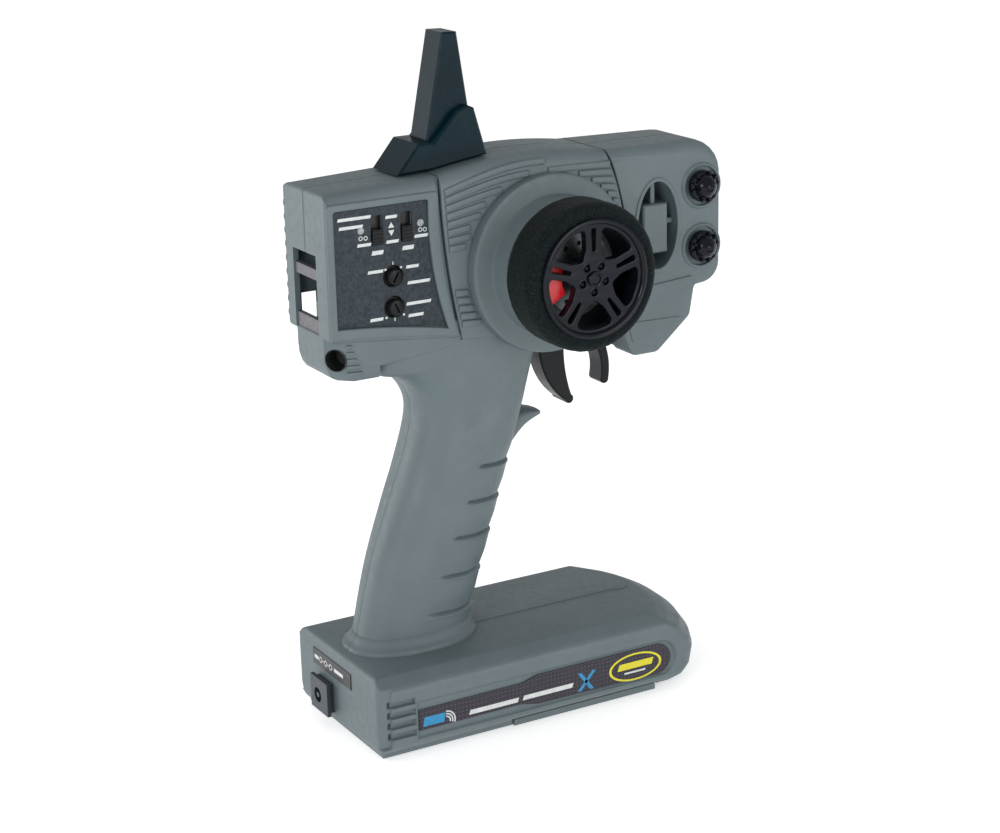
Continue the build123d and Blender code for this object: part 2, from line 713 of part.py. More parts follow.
# ---------------------------------------------------------------- base
def nose_profile(inset):
    """Half profile of the nose, turned about the upright nose axis."""
    reach = NOSE_R - inset
    top = DECK_Z - inset
    with BuildLine() as outline:
        Line((0, inset), (42 - inset, inset))
        ThreePointArc((42 - inset, inset), (51.6 - inset, 4.6 + inset * 0.7), (reach, 14))
        ThreePointArc((reach, 14), (50.6 - inset, 23.2 - inset * 0.5), (39.4 - inset, top))
        Line((39.4 - inset, top), (0, top))
        Line((0, top), (0, inset))
    return outline.edges()


def base_solid(inset):
    """Outer or inner form of the base: a shouldered bar with a rounded nose."""
    with BuildPart() as bar:
        with BuildSketch(Plane.YZ.offset(BASE_REAR + inset)):
            with BuildLine():
                Polyline((0, DECK_Z - inset), (DECK_HALF - inset, DECK_Z - inset),
                         (BASE_HALF - inset, BAND_Z - inset), (BASE_HALF - inset, 5 + inset * 0.4),
                         (BASE_HALF - 5 - inset, inset), (0, inset), (0, DECK_Z - inset))
            make_face()
            mirror(about=Plane.YZ)
        extrude(amount=NOSE_AXIS_X + NOSE_R - BASE_REAR + 5)
    with BuildPart() as reach:
        with BuildSketch(Plane.XZ):
            make_face(nose_profile(inset))
        revolve(axis=Axis.Z)
        with Locations((-42, 0, DECK_Z / 2)):
            Box(84, 90, DECK_Z)
    with BuildPart() as form:
        add(bar.part)
        with Locations((NOSE_AXIS_X, 0, 0)):
            add(reach.part, mode=Mode.INTERSECT)
    return form.part


DOOR_X = (-13.0, 47.0)
DOOR_HALF = 29.5
DOOR_Z = (0.0, 2.3)
VENT_ZS = (21.2, 17.3, 13.4, 9.5)

with BuildPart() as base_upper:
    add(base_solid(0))
    add(base_solid(WALL), mode=Mode.SUBTRACT)
    # the lower part of the bar belongs to the bottom plate
    with Locations((0, 0, PLATE_T / 2 - 5)):
        Box(200, 100, PLATE_T + 10 + 0.05, mode=Mode.SUBTRACT)
    # wire way up into the grip
    with Locations((-38, 0, DECK_Z)):
        Cylinder(6.0, 10, mode=Mode.SUBTRACT)
    # long side recesses and the vents behind them
    for side in (-1, 1):
        with BuildSketch(Plane.XZ.offset(-side * (BASE_HALF - 0.8))):
            with Locations((-0.3, 13.4)):
                SlotOverall(108.0, 13.4)
            with Locations((-30, 13.4)):
                Rectangle(46.0, 13.4)
        extrude(amount=-side * 3.0, mode=Mode.SUBTRACT)
        for vent_z in VENT_ZS:
            with Locations((-60, side * BASE_HALF, vent_z)):
                Box(16, 2.4, 1.9, mode=Mode.SUBTRACT)
    # socket for the power jack
    with Locations((BASE_REAR, 9.1, 11.3)):
        Box(8, 11.0, 11.0, mode=Mode.SUBTRACT)

BASE_SCREWS = ((-60.0, 22.0), (-60.0, -22.0), (-24.0, 0.0))

with BuildPart() as base_lower:
    add(base_solid(0))
    with Locations((0, 0, PLATE_T + 25)):
        Box(200, 100, 50, mode=Mode.SUBTRACT)
    # battery opening, and the open channel that the door slides out through
    with Locations(((DOOR_X[0] + DOOR_X[1]) / 2, 0, 0)):
        Box(DOOR_X[1] - DOOR_X[0] - 4, 2 * DOOR_HALF - 4, 10, mode=Mode.SUBTRACT)
    with Locations(((DOOR_X[0] + 90) / 2, 0, (DOOR_Z[1] + 0.1) / 2 - 1)):
        Box(90 - DOOR_X[0], 2 * DOOR_HALF + 0.6, DOOR_Z[1] + 0.1 + 2, mode=Mode.SUBTRACT)
    # countersunk screw seats
    for screw_x, screw_y in BASE_SCREWS:
        with Locations((screw_x, screw_y, 1.0)):
            Cylinder(2.6, 2.2, mode=Mode.SUBTRACT)
            Cylinder(1.5, 8.0, mode=Mode.SUBTRACT)

with BuildPart() as battery_door:
    with Locations(((DOOR_X[0] + DOOR_X[1]) / 2 + 0.2, 0, (DOOR_Z[0] + DOOR_Z[1]) / 2)):
        Box(DOOR_X[1] - DOOR_X[0] - 0.6, 2 * DOOR_HALF, DOOR_Z[1] - DOOR_Z[0])
    for grip_line in range(4):
        with Locations((34 + 2.4 * grip_line, 0, DOOR_Z[0])):
            Box(1.0, 24, 0.8, mode=Mode.SUBTRACT)

with BuildPart() as battery_tray:
    with Locations((CELL_X, 0, 14.3)):
        Box(CELL_LEN + 12, 4 * CELL_PITCH + 3.2, 14.4)
        with Locations((0, 0, -1.4)):
            Box(CELL_LEN + 9, 4 * CELL_PITCH + 0.6, 14.4, mode=Mode.SUBTRACT)

CELL_YS = [CELL_PITCH * (index - 1.5) for index in range(4)]
with BuildPart() as battery_cells:
    for cell_index, cell_y in enumerate(CELL_YS):
        facing = 1 if cell_index % 2 else -1
        with BuildSketch(Plane.YZ.offset(CELL_X - CELL_LEN / 2)):
            with Locations((cell_y, CELL_Z)):
                Circle(CELL_R)
        extrude(amount=CELL_LEN)
        nub_x = CELL_X + CELL_LEN / 2 if facing > 0 else CELL_X - CELL_LEN / 2 - 1.2
        with BuildSketch(Plane.YZ.offset(nub_x)):
            with Locations((cell_y, CELL_Z)):
                Circle(2.7)
        extrude(amount=1.2)

with BuildPart() as battery_contacts:
    for contact_y in CELL_YS:
        for contact_x in (CELL_X - CELL_LEN / 2 - 4.2, CELL_X + CELL_LEN / 2 + 4.2):
            with Locations((contact_x, contact_y, CELL_Z)):
                Box(0.4, 9.0, 9.0)

with BuildPart() as battery_springs:
    for spring_index, spring_y in enumerate(CELL_YS):
        negative_x = CELL_X - CELL_LEN / 2 - 3.6 if spring_index % 2 else CELL_X + CELL_LEN / 2 + 0.5
        with Locations(Location((negative_x, spring_y, CELL_Z), (0, 90, 0))):
            add(coil_spring(3.0, 0.35, 3, 0.95))

with BuildPart() as dc_jack:
    with Locations((BASE_REAR + 1.0, 9.1, 11.3)):
        Box(8.0, 10.9, 10.9)
    with Locations((BASE_REAR - 2.4, 9.1, 11.3)):
        Box(1.4, 13.4, 12.4)
    with Locations(Location((BASE_REAR - 2, 10.2, 11.0), (0, 90, 0))):
        Cylinder(2.75, 12, mode=Mode.SUBTRACT)
    with Locations(Location((BASE_REAR + 1.0, 10.2, 11.0), (0, 90, 0))):
        Cylinder(1.0, 8.0)

with BuildPart() as jack_label:
    with Locations((BASE_REAR - 0.15, 3.5, 23.0)):
        Box(0.3, 30, 6.0)


def side_label(side):
    """Long stepped label in the side recess, rounded at the front."""
    with BuildPart() as label:
        with BuildSketch(Plane.XZ.offset(-side * (BASE_HALF - 0.8))):
            with BuildLine():
                Line((-52.0, 9.2), (-52.0, 16.9))
                Line((-52.0, 16.9), (-11.0, 17.3))
                Line((-11.0, 17.3), (-5.0, 19.0))
                Line((-5.0, 19.0), (45.6, 19.0))
                ThreePointArc((45.6, 19.0), (51.4, 13.2), (45.6, 7.4))
                Line((45.6, 7.4), (-4.5, 7.9))
                Line((-4.5, 7.9), (-12.0, 9.4))
                Line((-12.0, 9.4), (-52.0, 9.2))
            make_face()
        extrude(amount=-side * 0.3)
    return label.part


with BuildPart() as side_label_right:
    add(side_label(-1))
with BuildPart() as side_label_left:
    add(side_label(1))

# ---------------------------------------------------------------- screws
with BuildPart() as housing_screws:
    for screw_x, screw_z, post_reach in SCREW_POINTS:
        with Locations(Location((screw_x, 9.0 - 7.5, screw_z), (90, 0, 0))):
            Cylinder(1.15, 15.0)
        with Locations(Location((screw_x, 9.0 + 0.9, screw_z), (90, 0, 0))):
            Cylinder(2.4, 1.8)

with BuildPart() as base_screws:
    for screw_x, screw_y in BASE_SCREWS:
        with Locations((screw_x, screw_y, 6.3)):
            Cylinder(1.3, 9.0)
        with Locations((screw_x, screw_y, 1.4)):
            Cylinder(2.4, 1.2)

# ---------------------------------------------------------------- export
PIECES = {
    "housing_right": housing_right, "housing_left": housing_left,
    "rear_case_right": rear_case_right, "rear_case_left": rear_case_left,
    "front_case_right": front_case_right, "front_case_left": front_case_left,
    "panel_label": panel_label, "switch_guard": switch_guard,
    "recess_block": recess_block, "wheel_boss": wheel_boss,
    "steering_shaft": steering_shaft, "steering_arm": steering_arm,
    "foam_tyre": foam_tyre, "wheel_rim": wheel_rim,
    "brake_disc": brake_disc, "brake_caliper": brake_caliper,
    "lug_nuts": lug_nuts, "wheel_screw": wheel_screw, "hub_cap": hub_cap,
    "steering_pot": steering_pot, "steering_spring": steering_spring,
    "trigger": trigger, "trigger_shaft": trigger_shaft,
    "throttle_pot": throttle_pot, "trigger_spring": trigger_spring,
    "steering_trim_knob": steering_trim_knob, "throttle_trim_knob": throttle_trim_knob,
    "trim_pots": trim_pots, "steering_rate_knob": steering_rate_knob,
    "throttle_rate_knob": throttle_rate_knob, "rate_pots": rate_pots,
    "throttle_reverse_slider": throttle_reverse_slider,
    "steering_reverse_slider": steering_reverse_slider,
    "reverse_switch_bodies": reverse_switch_bodies, "indicator_lamps": indicator_lamps,
    "main_board": main_board, "radio_module": radio_module,
    "power_slider": power_slider, "power_switch_body": power_switch_body,
    "antenna_base_right": antenna_base_right, "antenna_base_left": antenna_base_left,
    "antenna_mast_right": antenna_mast_right, "antenna_mast_left": antenna_mast_left,
    "antenna_element": antenna_element, "base_upper": base_upper, "base_lower": base_lower,
    "battery_door": battery_door, "battery_tray": battery_tray,
    "battery_cells": battery_cells, "battery_contacts": battery_contacts,
    "battery_springs": battery_springs, "dc_jack": dc_jack, "jack_label": jack_label,
    "side_label_right": side_label_right, "side_label_left": side_label_left,
    "housing_screws": housing_screws, "base_screws": base_screws,
}

for name, piece in PIECES.items():
    piece.part.label = name
    export_step(piece.part, f"parts/{name}.step")
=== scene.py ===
from math import cos, exp, hypot, pi, radians, sin, sqrt, tan

import bmesh
import bpy
from mathutils import Matrix, Vector, noise


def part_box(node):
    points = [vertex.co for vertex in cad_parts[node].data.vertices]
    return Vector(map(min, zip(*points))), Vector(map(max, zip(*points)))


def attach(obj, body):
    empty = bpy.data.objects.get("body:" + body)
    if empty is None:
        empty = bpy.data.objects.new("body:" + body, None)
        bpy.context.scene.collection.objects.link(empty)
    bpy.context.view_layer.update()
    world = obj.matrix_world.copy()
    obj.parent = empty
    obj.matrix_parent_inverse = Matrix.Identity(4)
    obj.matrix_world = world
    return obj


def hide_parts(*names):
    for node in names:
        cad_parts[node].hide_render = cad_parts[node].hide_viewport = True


# Pistol-grip radio transmitter: the visible skins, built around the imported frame.
# Shapes are written in millimetres of the row frame and scaled once, by MM.

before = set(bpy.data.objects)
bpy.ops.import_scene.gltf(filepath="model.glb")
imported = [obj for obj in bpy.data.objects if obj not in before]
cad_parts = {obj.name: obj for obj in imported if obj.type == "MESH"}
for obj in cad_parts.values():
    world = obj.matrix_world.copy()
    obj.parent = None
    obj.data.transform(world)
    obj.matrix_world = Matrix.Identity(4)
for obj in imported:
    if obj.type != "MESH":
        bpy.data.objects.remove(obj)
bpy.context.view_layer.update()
MM = 0.001
NEAR, FAR = -1, 1          # signs of y on the wheel side and on the other side


def corner_of(node, index):
    """A CAD node's box corner in millimetres: index 0 is the lowest, 1 the highest."""
    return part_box(node)[index] / MM


# ---------------------------------------------------------------- dimensions read from the frame
FRONT_HIGH = corner_of("front_case_right", 1)
HEAD_REAR = -71.0
HEAD_HALF = 16.5
HEAD_FRONT = round(FRONT_HIGH.x, 1)
WALL = 2.0
SEAM_GAP = 0.05            # half gap between the two halves of a moulding

TYRE_LOW = corner_of("foam_tyre", 0)
TYRE_HIGH = corner_of("foam_tyre", 1)
WHEEL_X = (TYRE_LOW.x + TYRE_HIGH.x) / 2
WHEEL_Z = (TYRE_LOW.z + TYRE_HIGH.z) / 2
TYRE_R = (TYRE_HIGH.x - TYRE_LOW.x) / 2
TYRE_FRONT = TYRE_LOW.y
TYRE_BACK = TYRE_HIGH.y

BASE_LOW = corner_of("base_upper", 0)
BASE_HIGH = corner_of("base_upper", 1)
BASE_HALF = BASE_HIGH.y
BASE_REAR = BASE_LOW.x
DECK_Z = BASE_HIGH.z

OVAL_X, OVAL_Z = 57.4, 169.4
OVAL_RX, OVAL_RZ = 8.2, 15.6
TRIM_X = 75.8
TRIM_ZS = (181.5, 159.8)
RATE_X = -47.0
RATE_ZS = (165.6, 155.2)
SWITCH_XS = (-52.4, -41.5)
SWITCH_Z = 181.8
LAMP_XS = (-58.3, -36.3)
LAMP_Z = 182.3


# ---------------------------------------------------------------- materials
class Nodes:
    """A small writer for one material's node tree."""

    def __init__(self, name):
        self.material = bpy.data.materials.new(name)
        self.material.use_nodes = True
        self.tree = self.material.node_tree
        self.shader = self.tree.nodes["Principled BSDF"]
        self.place = self.tree.nodes.new("ShaderNodeTexCoord").outputs["Object"]

    def add(self, kind, **values):
        """A node with its input sockets set by name."""
        node = self.tree.nodes.new("ShaderNode" + kind)
        for socket, value in values.items():
            node.inputs[socket.replace("_", " ")].default_value = value
        return node

    def link(self, output, socket):
        self.tree.links.new(output, socket)

    def noise(self, size_mm, detail=2.0, roughness=0.5):
        """Noise whose features are about size_mm across."""
        node = self.add("TexNoise", Scale=1 / (size_mm * MM), Detail=detail, Roughness=roughness)
        self.link(self.place, node.inputs["Vector"])
        return node.outputs["Fac"]

    def spread(self, source, low, high, from_low=0.3, from_high=0.7):
        """A number that follows source between low and high."""
        node = self.add("MapRange", From_Min=from_low, From_Max=from_high, To_Min=low, To_Max=high)
        self.link(source, node.inputs["Value"])
        return node.outputs["Result"]

    def ramp(self, source, stops):
        """A colour ramp with stops of (position, (r, g, b))."""
        node = self.tree.nodes.new("ShaderNodeValToRGB")
        elements = node.color_ramp.elements
        while len(elements) < len(stops):
            elements.new(0.5)
        for element, (position, colour) in zip(elements, stops):
            element.position = position
            element.color = (*colour, 1.0)
        self.link(source, node.inputs["Fac"])
        return node.outputs["Color"]

    def bump(self, source, depth_mm, after=None):
        """A bump of about depth_mm, on top of another one where it is given."""
        node = self.add("Bump", Strength=1.0, Distance=depth_mm * MM)
        self.link(source, node.inputs["Height"])
        if after is not None:
            self.link(after, node.inputs["Normal"])
        return node.outputs["Normal"]


def shaded(colour, factor):
    return tuple(min(1.0, part * factor) for part in colour)


def moulded(name, colour, rough, grain_mm=0.35, grain_depth=0.03, mottle=0.07, blotch_mm=14.0,
            metallic=0.0, coat=0.0, gleam=0.5):
    """Moulded plastic or metal: fine grain, soft colour drift, and uneven sheen."""
    nodes = Nodes(name)
    shader = nodes.shader
    drift = nodes.noise(blotch_mm, detail=4.0)
    fleck = nodes.noise(grain_mm * 2.2, detail=3.0)
    shader.inputs["Metallic"].default_value = metallic
    shader.inputs["Specular IOR Level"].default_value = gleam
    shader.inputs["Coat Weight"].default_value = coat
    shader.inputs["Coat Roughness"].default_value = 0.12
    mixed = nodes.tree.nodes.new("ShaderNodeMath")
    mixed.operation = "MULTIPLY_ADD"
    nodes.link(fleck, mixed.inputs[0])
    mixed.inputs[1].default_value = 0.45
    nodes.link(drift, mixed.inputs[2])
    nodes.link(nodes.ramp(mixed.outputs[0],
                          [(0.52, shaded(colour, 1 - mottle)), (0.92, shaded(colour, 1 + mottle))]),
               shader.inputs["Base Color"])
    nodes.link(nodes.spread(nodes.noise(grain_mm * 6, detail=3.0), rough - 0.06, rough + 0.07),
               shader.inputs["Roughness"])
    coarse = nodes.bump(nodes.noise(grain_mm * 7, detail=2.0), grain_depth * 0.8)
    nodes.link(nodes.bump(nodes.noise(grain_mm, detail=3.0), grain_depth, coarse),
               shader.inputs["Normal"])
    return nodes.material


def foam_material():
    """Open-cell foam: pores, pale flecks and a worn, dusty drift."""
    nodes = Nodes("foam_cells")
    shader = nodes.shader
    cells = nodes.add("TexVoronoi", Scale=1 / (0.55 * MM))
    nodes.link(nodes.place, cells.inputs["Vector"])
    fleck = nodes.noise(0.45, detail=4.0, roughness=0.7)
    nodes.link(nodes.ramp(fleck, [(0.40, (0.001, 0.003, 0.004)), (0.55, (0.004, 0.008, 0.009)),
                                  (0.66, (0.018, 0.026, 0.027)), (0.80, (0.07, 0.08, 0.078))]),
               shader.inputs["Base Color"])
    nodes.link(nodes.spread(nodes.noise(2.0), 0.82, 0.98), shader.inputs["Roughness"])
    shader.inputs["Specular IOR Level"].default_value = 0.12
    shader.inputs["Sheen Weight"].default_value = 0.04
    pores = nodes.bump(cells.outputs["Distance"], 0.16)
    nodes.link(nodes.bump(fleck, 0.14, pores), shader.inputs["Normal"])
    return nodes.material


def weave_material(name, dark, pale, thread_mm):
    """Printed film with a diagonal woven pattern."""
    nodes = Nodes(name)
    shader = nodes.shader
    turn = nodes.add("Mapping", Rotation=(0.0, radians(45), 0.0))
    nodes.link(nodes.place, turn.inputs["Vector"])
    checks = nodes.add("TexChecker", Scale=1 / (thread_mm * MM))
    nodes.link(turn.outputs["Vector"], checks.inputs["Vector"])
    threads = nodes.add("TexWave", Scale=0.34 / (thread_mm * MM), Distortion=0.6, Detail=1.0)
    nodes.link(turn.outputs["Vector"], threads.inputs["Vector"])
    blend = nodes.tree.nodes.new("ShaderNodeMath")
    blend.operation = "MULTIPLY"
    nodes.link(checks.outputs["Fac"], blend.inputs[0])
    nodes.link(threads.outputs["Fac"], blend.inputs[1])
    nodes.link(nodes.ramp(blend.outputs[0], [(0.0, dark), (0.9, pale)]), shader.inputs["Base Color"])
    nodes.link(nodes.spread(nodes.noise(3.0), 0.25, 0.42), shader.inputs["Roughness"])
    nodes.link(nodes.bump(threads.outputs["Fac"], 0.015), shader.inputs["Normal"])
    return nodes.material


# each finish: name, colour, roughness, then grain size and depth in millimetres and colour mottle
GREY = (0.090, 0.120, 0.130)
housing_grey = moulded("housing_grey", GREY, 0.50, 0.42, 0.035, 0.05)
inner_black_and_bore_shade = moulded("inner_black_and_bore_shade", (0.010, 0.011, 0.012), 0.5)
satin_black = moulded("satin_black", (0.006, 0.007, 0.009), 0.34, 0.5, 0.012, 0.2, gleam=0.18)
antenna_black = moulded("antenna_black", (0.001, 0.011, 0.017), 0.33, 0.5, 0.028, 0.25, gleam=0.12)
gloss_black = moulded("gloss_black", (0.003, 0.004, 0.008), 0.17, 0.9, 0.003, 0.25, coat=0.08, gleam=0.16)
red_gloss = moulded("caliper_red", (0.62, 0.006, 0.012), 0.30, 0.8, 0.02, 0.15, coat=0.3)
disc_steel = moulded("disc_steel", (0.09, 0.095, 0.10), 0.34, 0.25, 0.006, 0.2, metallic=0.9)
bright_steel = moulded("bright_steel", (0.55, 0.55, 0.56), 0.30, 0.2, 0.004, 0.15, metallic=1.0)
brass = moulded("plated_brass", (0.60, 0.47, 0.24), 0.32, 0.2, 0.004, 0.15, metallic=1.0)
slate_film = moulded("slate_film", (0.013, 0.022, 0.030), 0.46, 0.30, 0.02, 0.55, blotch_mm=1.2, gleam=0.3)
label_black = moulded("label_black", (0.008, 0.008, 0.009), 0.35, 0.3, 0.006, 0.3)
white_ink = moulded("white_ink", (0.52, 0.54, 0.54), 0.45, 0.2, 0.004, 0.10, blotch_mm=2.0)
cyan_ink = moulded("cyan_ink", (0.01, 0.20, 0.40), 0.40, 0.2, 0.004, 0.12, blotch_mm=2.0)
yellow_ink = moulded("yellow_ink", (0.58, 0.52, 0.012), 0.40, 0.2, 0.004, 0.08, blotch_mm=2.0)
jack_grey = moulded("jack_blue_grey", (0.020, 0.026, 0.036), 0.42, 0.4, 0.015, 0.1)
guard_grey = moulded("guard_grey", (0.095, 0.092, 0.105), 0.5, 0.3, 0.03, 0.18, blotch_mm=1.0)
lamp_lens = moulded("lamp_lens", (0.22, 0.24, 0.25), 0.18, 0.3, 0.02, 0.35, blotch_mm=0.8, coat=0.5)
board_green = moulded("board_green", (0.012, 0.11, 0.045), 0.35, 0.8, 0.02, 0.3, blotch_mm=3.0)
cell_sleeve = moulded("cell_sleeve", (0.05, 0.06, 0.08), 0.3, 0.6, 0.006, 0.3, blotch_mm=9.0)
foam = foam_material()
carbon_film = weave_material("carbon_film", (0.006, 0.005, 0.012), (0.040, 0.030, 0.050), 1.1)


# ---------------------------------------------------------------- mesh helpers
def new_object(name, mesh, material, sharp=35):
    """An object from a mesh, with smooth shading that breaks at sharp edges."""
    tidy = bmesh.new()
    tidy.from_mesh(mesh)
    bmesh.ops.remove_doubles(tidy, verts=tidy.verts, dist=2e-6)
    bmesh.ops.recalc_face_normals(tidy, faces=tidy.faces)
    tidy.to_mesh(mesh)
    tidy.free()
    mesh.materials.clear()
    mesh.materials.append(material)
    mesh.shade_smooth()
    mesh.set_sharp_from_angle(angle=radians(sharp))
    piece = bpy.data.objects.new(name, mesh)
    bpy.context.scene.collection.objects.link(piece)
    return piece


def skin(name, rings, material, closed=False, caps=(True, True), sharp=35):
    """A mesh through rings of points in millimetres; closed joins the last ring to the first."""
    count = len(rings[0])
    points = [Vector(point) * MM for ring in rings for point in ring]
    faces = []
    last = len(rings) if closed else len(rings) - 1
    for row in range(last):
        here, there = row * count, (row + 1) % len(rings) * count
        for col in range(count):
            side = (col + 1) % count
            faces.append((here + col, here + side, there + side, there + col))
    if not closed and caps[0]:
        faces.append(tuple(range(count)))
    if not closed and caps[1]:
        faces.append(tuple((len(rings) - 1) * count + col for col in range(count)))
    mesh = bpy.data.meshes.new(name)
    mesh.from_pydata(points, [], faces)
    return new_object(name, mesh, material, sharp)


SIDE = Matrix(((1, 0, 0), (0, 0, -1), (0, 1, 0)))      # plan (x, z), facing the driver's side, -Y
REAR = Matrix(((0, 0, -1), (-1, 0, 0), (0, 1, 0)))     # plan (-y, z), facing back, -X
TOP = Matrix(((1, 0, 0), (0, 1, 0), (0, 0, 1)))        # plan (x, y), facing up


def plate(name, loops, facing, level, thick, material, rounding=0.15, steps=2, sharp=40):
    """A plate cut to closed loops of (u, v), later loops being holes.
    Its face is at level along the facing direction, and its edges are rounded."""
    curve = bpy.data.curves.new(name, "CURVE")
    curve.dimensions = "2D"
    curve.fill_mode = "BOTH"
    curve.extrude = (thick / 2 - rounding) * MM
    curve.bevel_depth = rounding * MM
    curve.bevel_resolution = steps
    curve.offset = -rounding * MM
    for loop in loops:
        spline = curve.splines.new("POLY")
        spline.points.add(len(loop) - 1)
        for point, (u, v) in zip(spline.points, loop):
            point.co = (u * MM, v * MM, 0.0, 1.0)
        spline.use_cyclic_u = True
    holder = bpy.data.objects.new(name + "_curve", curve)
    bpy.context.scene.collection.objects.link(holder)
    bpy.context.view_layer.update()
    mesh = bpy.data.meshes.new_from_object(holder.evaluated_get(bpy.context.evaluated_depsgraph_get()))
    bpy.data.objects.remove(holder)
    bpy.data.curves.remove(curve)
    mesh.name = name
    middle = (level - thick / 2) * MM
    mesh.transform(Matrix.Translation(facing @ Vector((0, 0, middle))) @ facing.to_4x4())
    return new_object(name, mesh, material, sharp)


def circle(radius, centre=(0, 0), count=64, start=0.0, sweep=2 * pi, squeeze=1.0):
    """Points round a circle or an ellipse squeezed in its second direction."""
    whole = abs(sweep - 2 * pi) < 1e-9
    steps = count if whole else count - 1
    return [(centre[0] + radius * cos(start + sweep * k / steps),
             centre[1] + radius * squeeze * sin(start + sweep * k / steps)) for k in range(count)]


def arc_through(first, middle, last, count=24):
    """Points of the arc through three points, without the last one."""
    (ax, ay), (bx, by), (cx, cy) = first, middle, last
    d = 2 * (ax * (by - cy) + bx * (cy - ay) + cx * (ay - by))
    aa, bb, cc = ax * ax + ay * ay, bx * bx + by * by, cx * cx + cy * cy
    ux = (aa * (by - cy) + bb * (cy - ay) + cc * (ay - by)) / d
    uy = (aa * (cx - bx) + bb * (ax - cx) + cc * (bx - ax)) / d
    centre = Vector((ux, uy))
    start, through, end = (Vector(p) - centre for p in (first, middle, last))
    angle = start.angle_signed(end)
    toward = start.angle_signed(through)
    if toward * angle < 0 or abs(toward) > abs(angle):
        angle -= 2 * pi if angle > 0 else -2 * pi
    points = []
    for k in range(count):
        turn = -angle * k / count
        points.append((ux + start.x * cos(turn) - start.y * sin(turn),
                       uy + start.x * sin(turn) + start.y * cos(turn)))
    return points


def corners(points, radius=0.0, tag=1.0):
    """Corner records (u, v, corner radius, edge tag) from plain points."""
    return [(u, v, radius, tag) for u, v in points]


def loop_of(records, reach=None, samples=7):
    """Points round a closed outline of corner records, drawn counter-clockwise.
    reach(tag) moves each edge inward by that much; the number of points never changes."""
    points = []
    count = len(records)
    for index, (u, v, radius, tag) in enumerate(records):
        before, after = records[index - 1], records[(index + 1) % count]
        here = Vector((u, v))
        along = (here - Vector(before[:2])).normalized()
        away = (Vector(after[:2]) - here).normalized()
        inward_a, inward_b = Vector((-along.y, along.x)), Vector((-away.y, away.x))
        shift_a = reach(before[3]) if reach else 0.0
        shift_b = reach(tag) if reach else 0.0
        turn = along.x * away.y - along.y * away.x
        if abs(turn) < 0.05:
            corner = here + (inward_a * shift_a + inward_b * shift_b) / 2
        else:
            gap = inward_b * shift_b - inward_a * shift_a
            corner = here + inward_a * shift_a + along * ((gap.x * away.y - gap.y * away.x) / turn)
        if radius == 0.0:
            points.append((corner.x, corner.y, before[3], tag, 0.5))
            continue
        shift = (shift_a + shift_b) / 2
        rounded = max(radius - shift, 0.001) if turn > 0 else radius + shift
        half = along.angle(away) / 2
        reach_out = rounded * tan(half)
        start = corner - along * reach_out
        normal = inward_a if turn > 0 else -inward_a
        centre = start + normal * rounded
        spoke = start - centre
        for k in range(samples):
            angle = (2 * half) * k / (samples - 1) * (1 if turn > 0 else -1)
            x = centre.x + spoke.x * cos(angle) - spoke.y * sin(angle)
            y = centre.y + spoke.x * sin(angle) + spoke.y * cos(angle)
            points.append((x, y, before[3], tag, k / (samples - 1)))
    return points


def flat_loop(records, inset=0.0):
    """The outline as plain (u, v) points, moved inward by inset."""
    return [(point[0], point[1]) for point in loop_of(records, lambda tag: inset)]


def cut(piece, *tools, keep=False):
    """Cuts the tools out of the piece, and removes them unless they are kept."""
    for tool in tools:
        modifier = piece.modifiers.new("cut", "BOOLEAN")
        modifier.operation = "DIFFERENCE"
        modifier.solver = "EXACT"
        modifier.object = tool
    bpy.context.view_layer.update()
    mesh = bpy.data.meshes.new_from_object(piece.evaluated_get(bpy.context.evaluated_depsgraph_get()))
    material = piece.data.materials[0]
    piece.modifiers.clear()
    piece.data = mesh
    while len(mesh.materials) > 1:
        mesh.materials.pop()
    mesh.materials[0] = material
    for polygon in mesh.polygons:
        polygon.material_index = 0
    mesh.shade_smooth()
    mesh.set_sharp_from_angle(angle=radians(32))
    if not keep:
        for tool in tools:
            bpy.data.objects.remove(tool)
    return piece


def bar_tool(low, high):
    """A plain box, only for cutting."""
    rings = []
    for x in (low[0], high[0]):
        rings.append([(x, low[1], low[2]), (x, high[1], low[2]), (x, high[1], high[2]), (x, low[1], high[2])])
    return skin("cutter", rings, inner_black_and_bore_shade)


def lathe(name, profile, centre, material, count=96, sharp=30, hole=True):
    """A profile of (radius, y) turned about the Y axis through centre (x, z)."""
    rings = []
    for radius, y in profile:
        rings.append([(centre[0] + radius * cos(2 * pi * k / count), y,
                       centre[1] + radius * sin(2 * pi * k / count))
                      for k in range(count)])
    return skin(name, rings, material, closed=hole, sharp=sharp)


def placed(piece, body, slot, *nodes):
    """Rides the piece on its body, and hides the CAD nodes it stands for; the slot is not used."""
    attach(piece, body)
    if nodes:
        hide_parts(*nodes)
    return piece


def housed(piece, *nodes):
    """A fixed piece in the housing's own plastic."""
    return placed(piece, "housing", "housing", *nodes)


def drill(radius, x, z, near=-20.0, count=48):
    """A round cutter along Y, from near to well inside the near wall."""
    return lathe("cutter", [(radius, near), (radius, near + 10.0)], (x, z), inner_black_and_bore_shade, count, hole=False)


def oval(grow=0.0):
    """The oval window's outline, grown outward."""
    return circle(OVAL_RX + grow, (OVAL_X, OVAL_Z), 72, squeeze=(OVAL_RZ + grow) / (OVAL_RX + grow))


def smooth(value):
    value = max(0.0, min(1.0, value))
    return value * value * (3 - 2 * value)


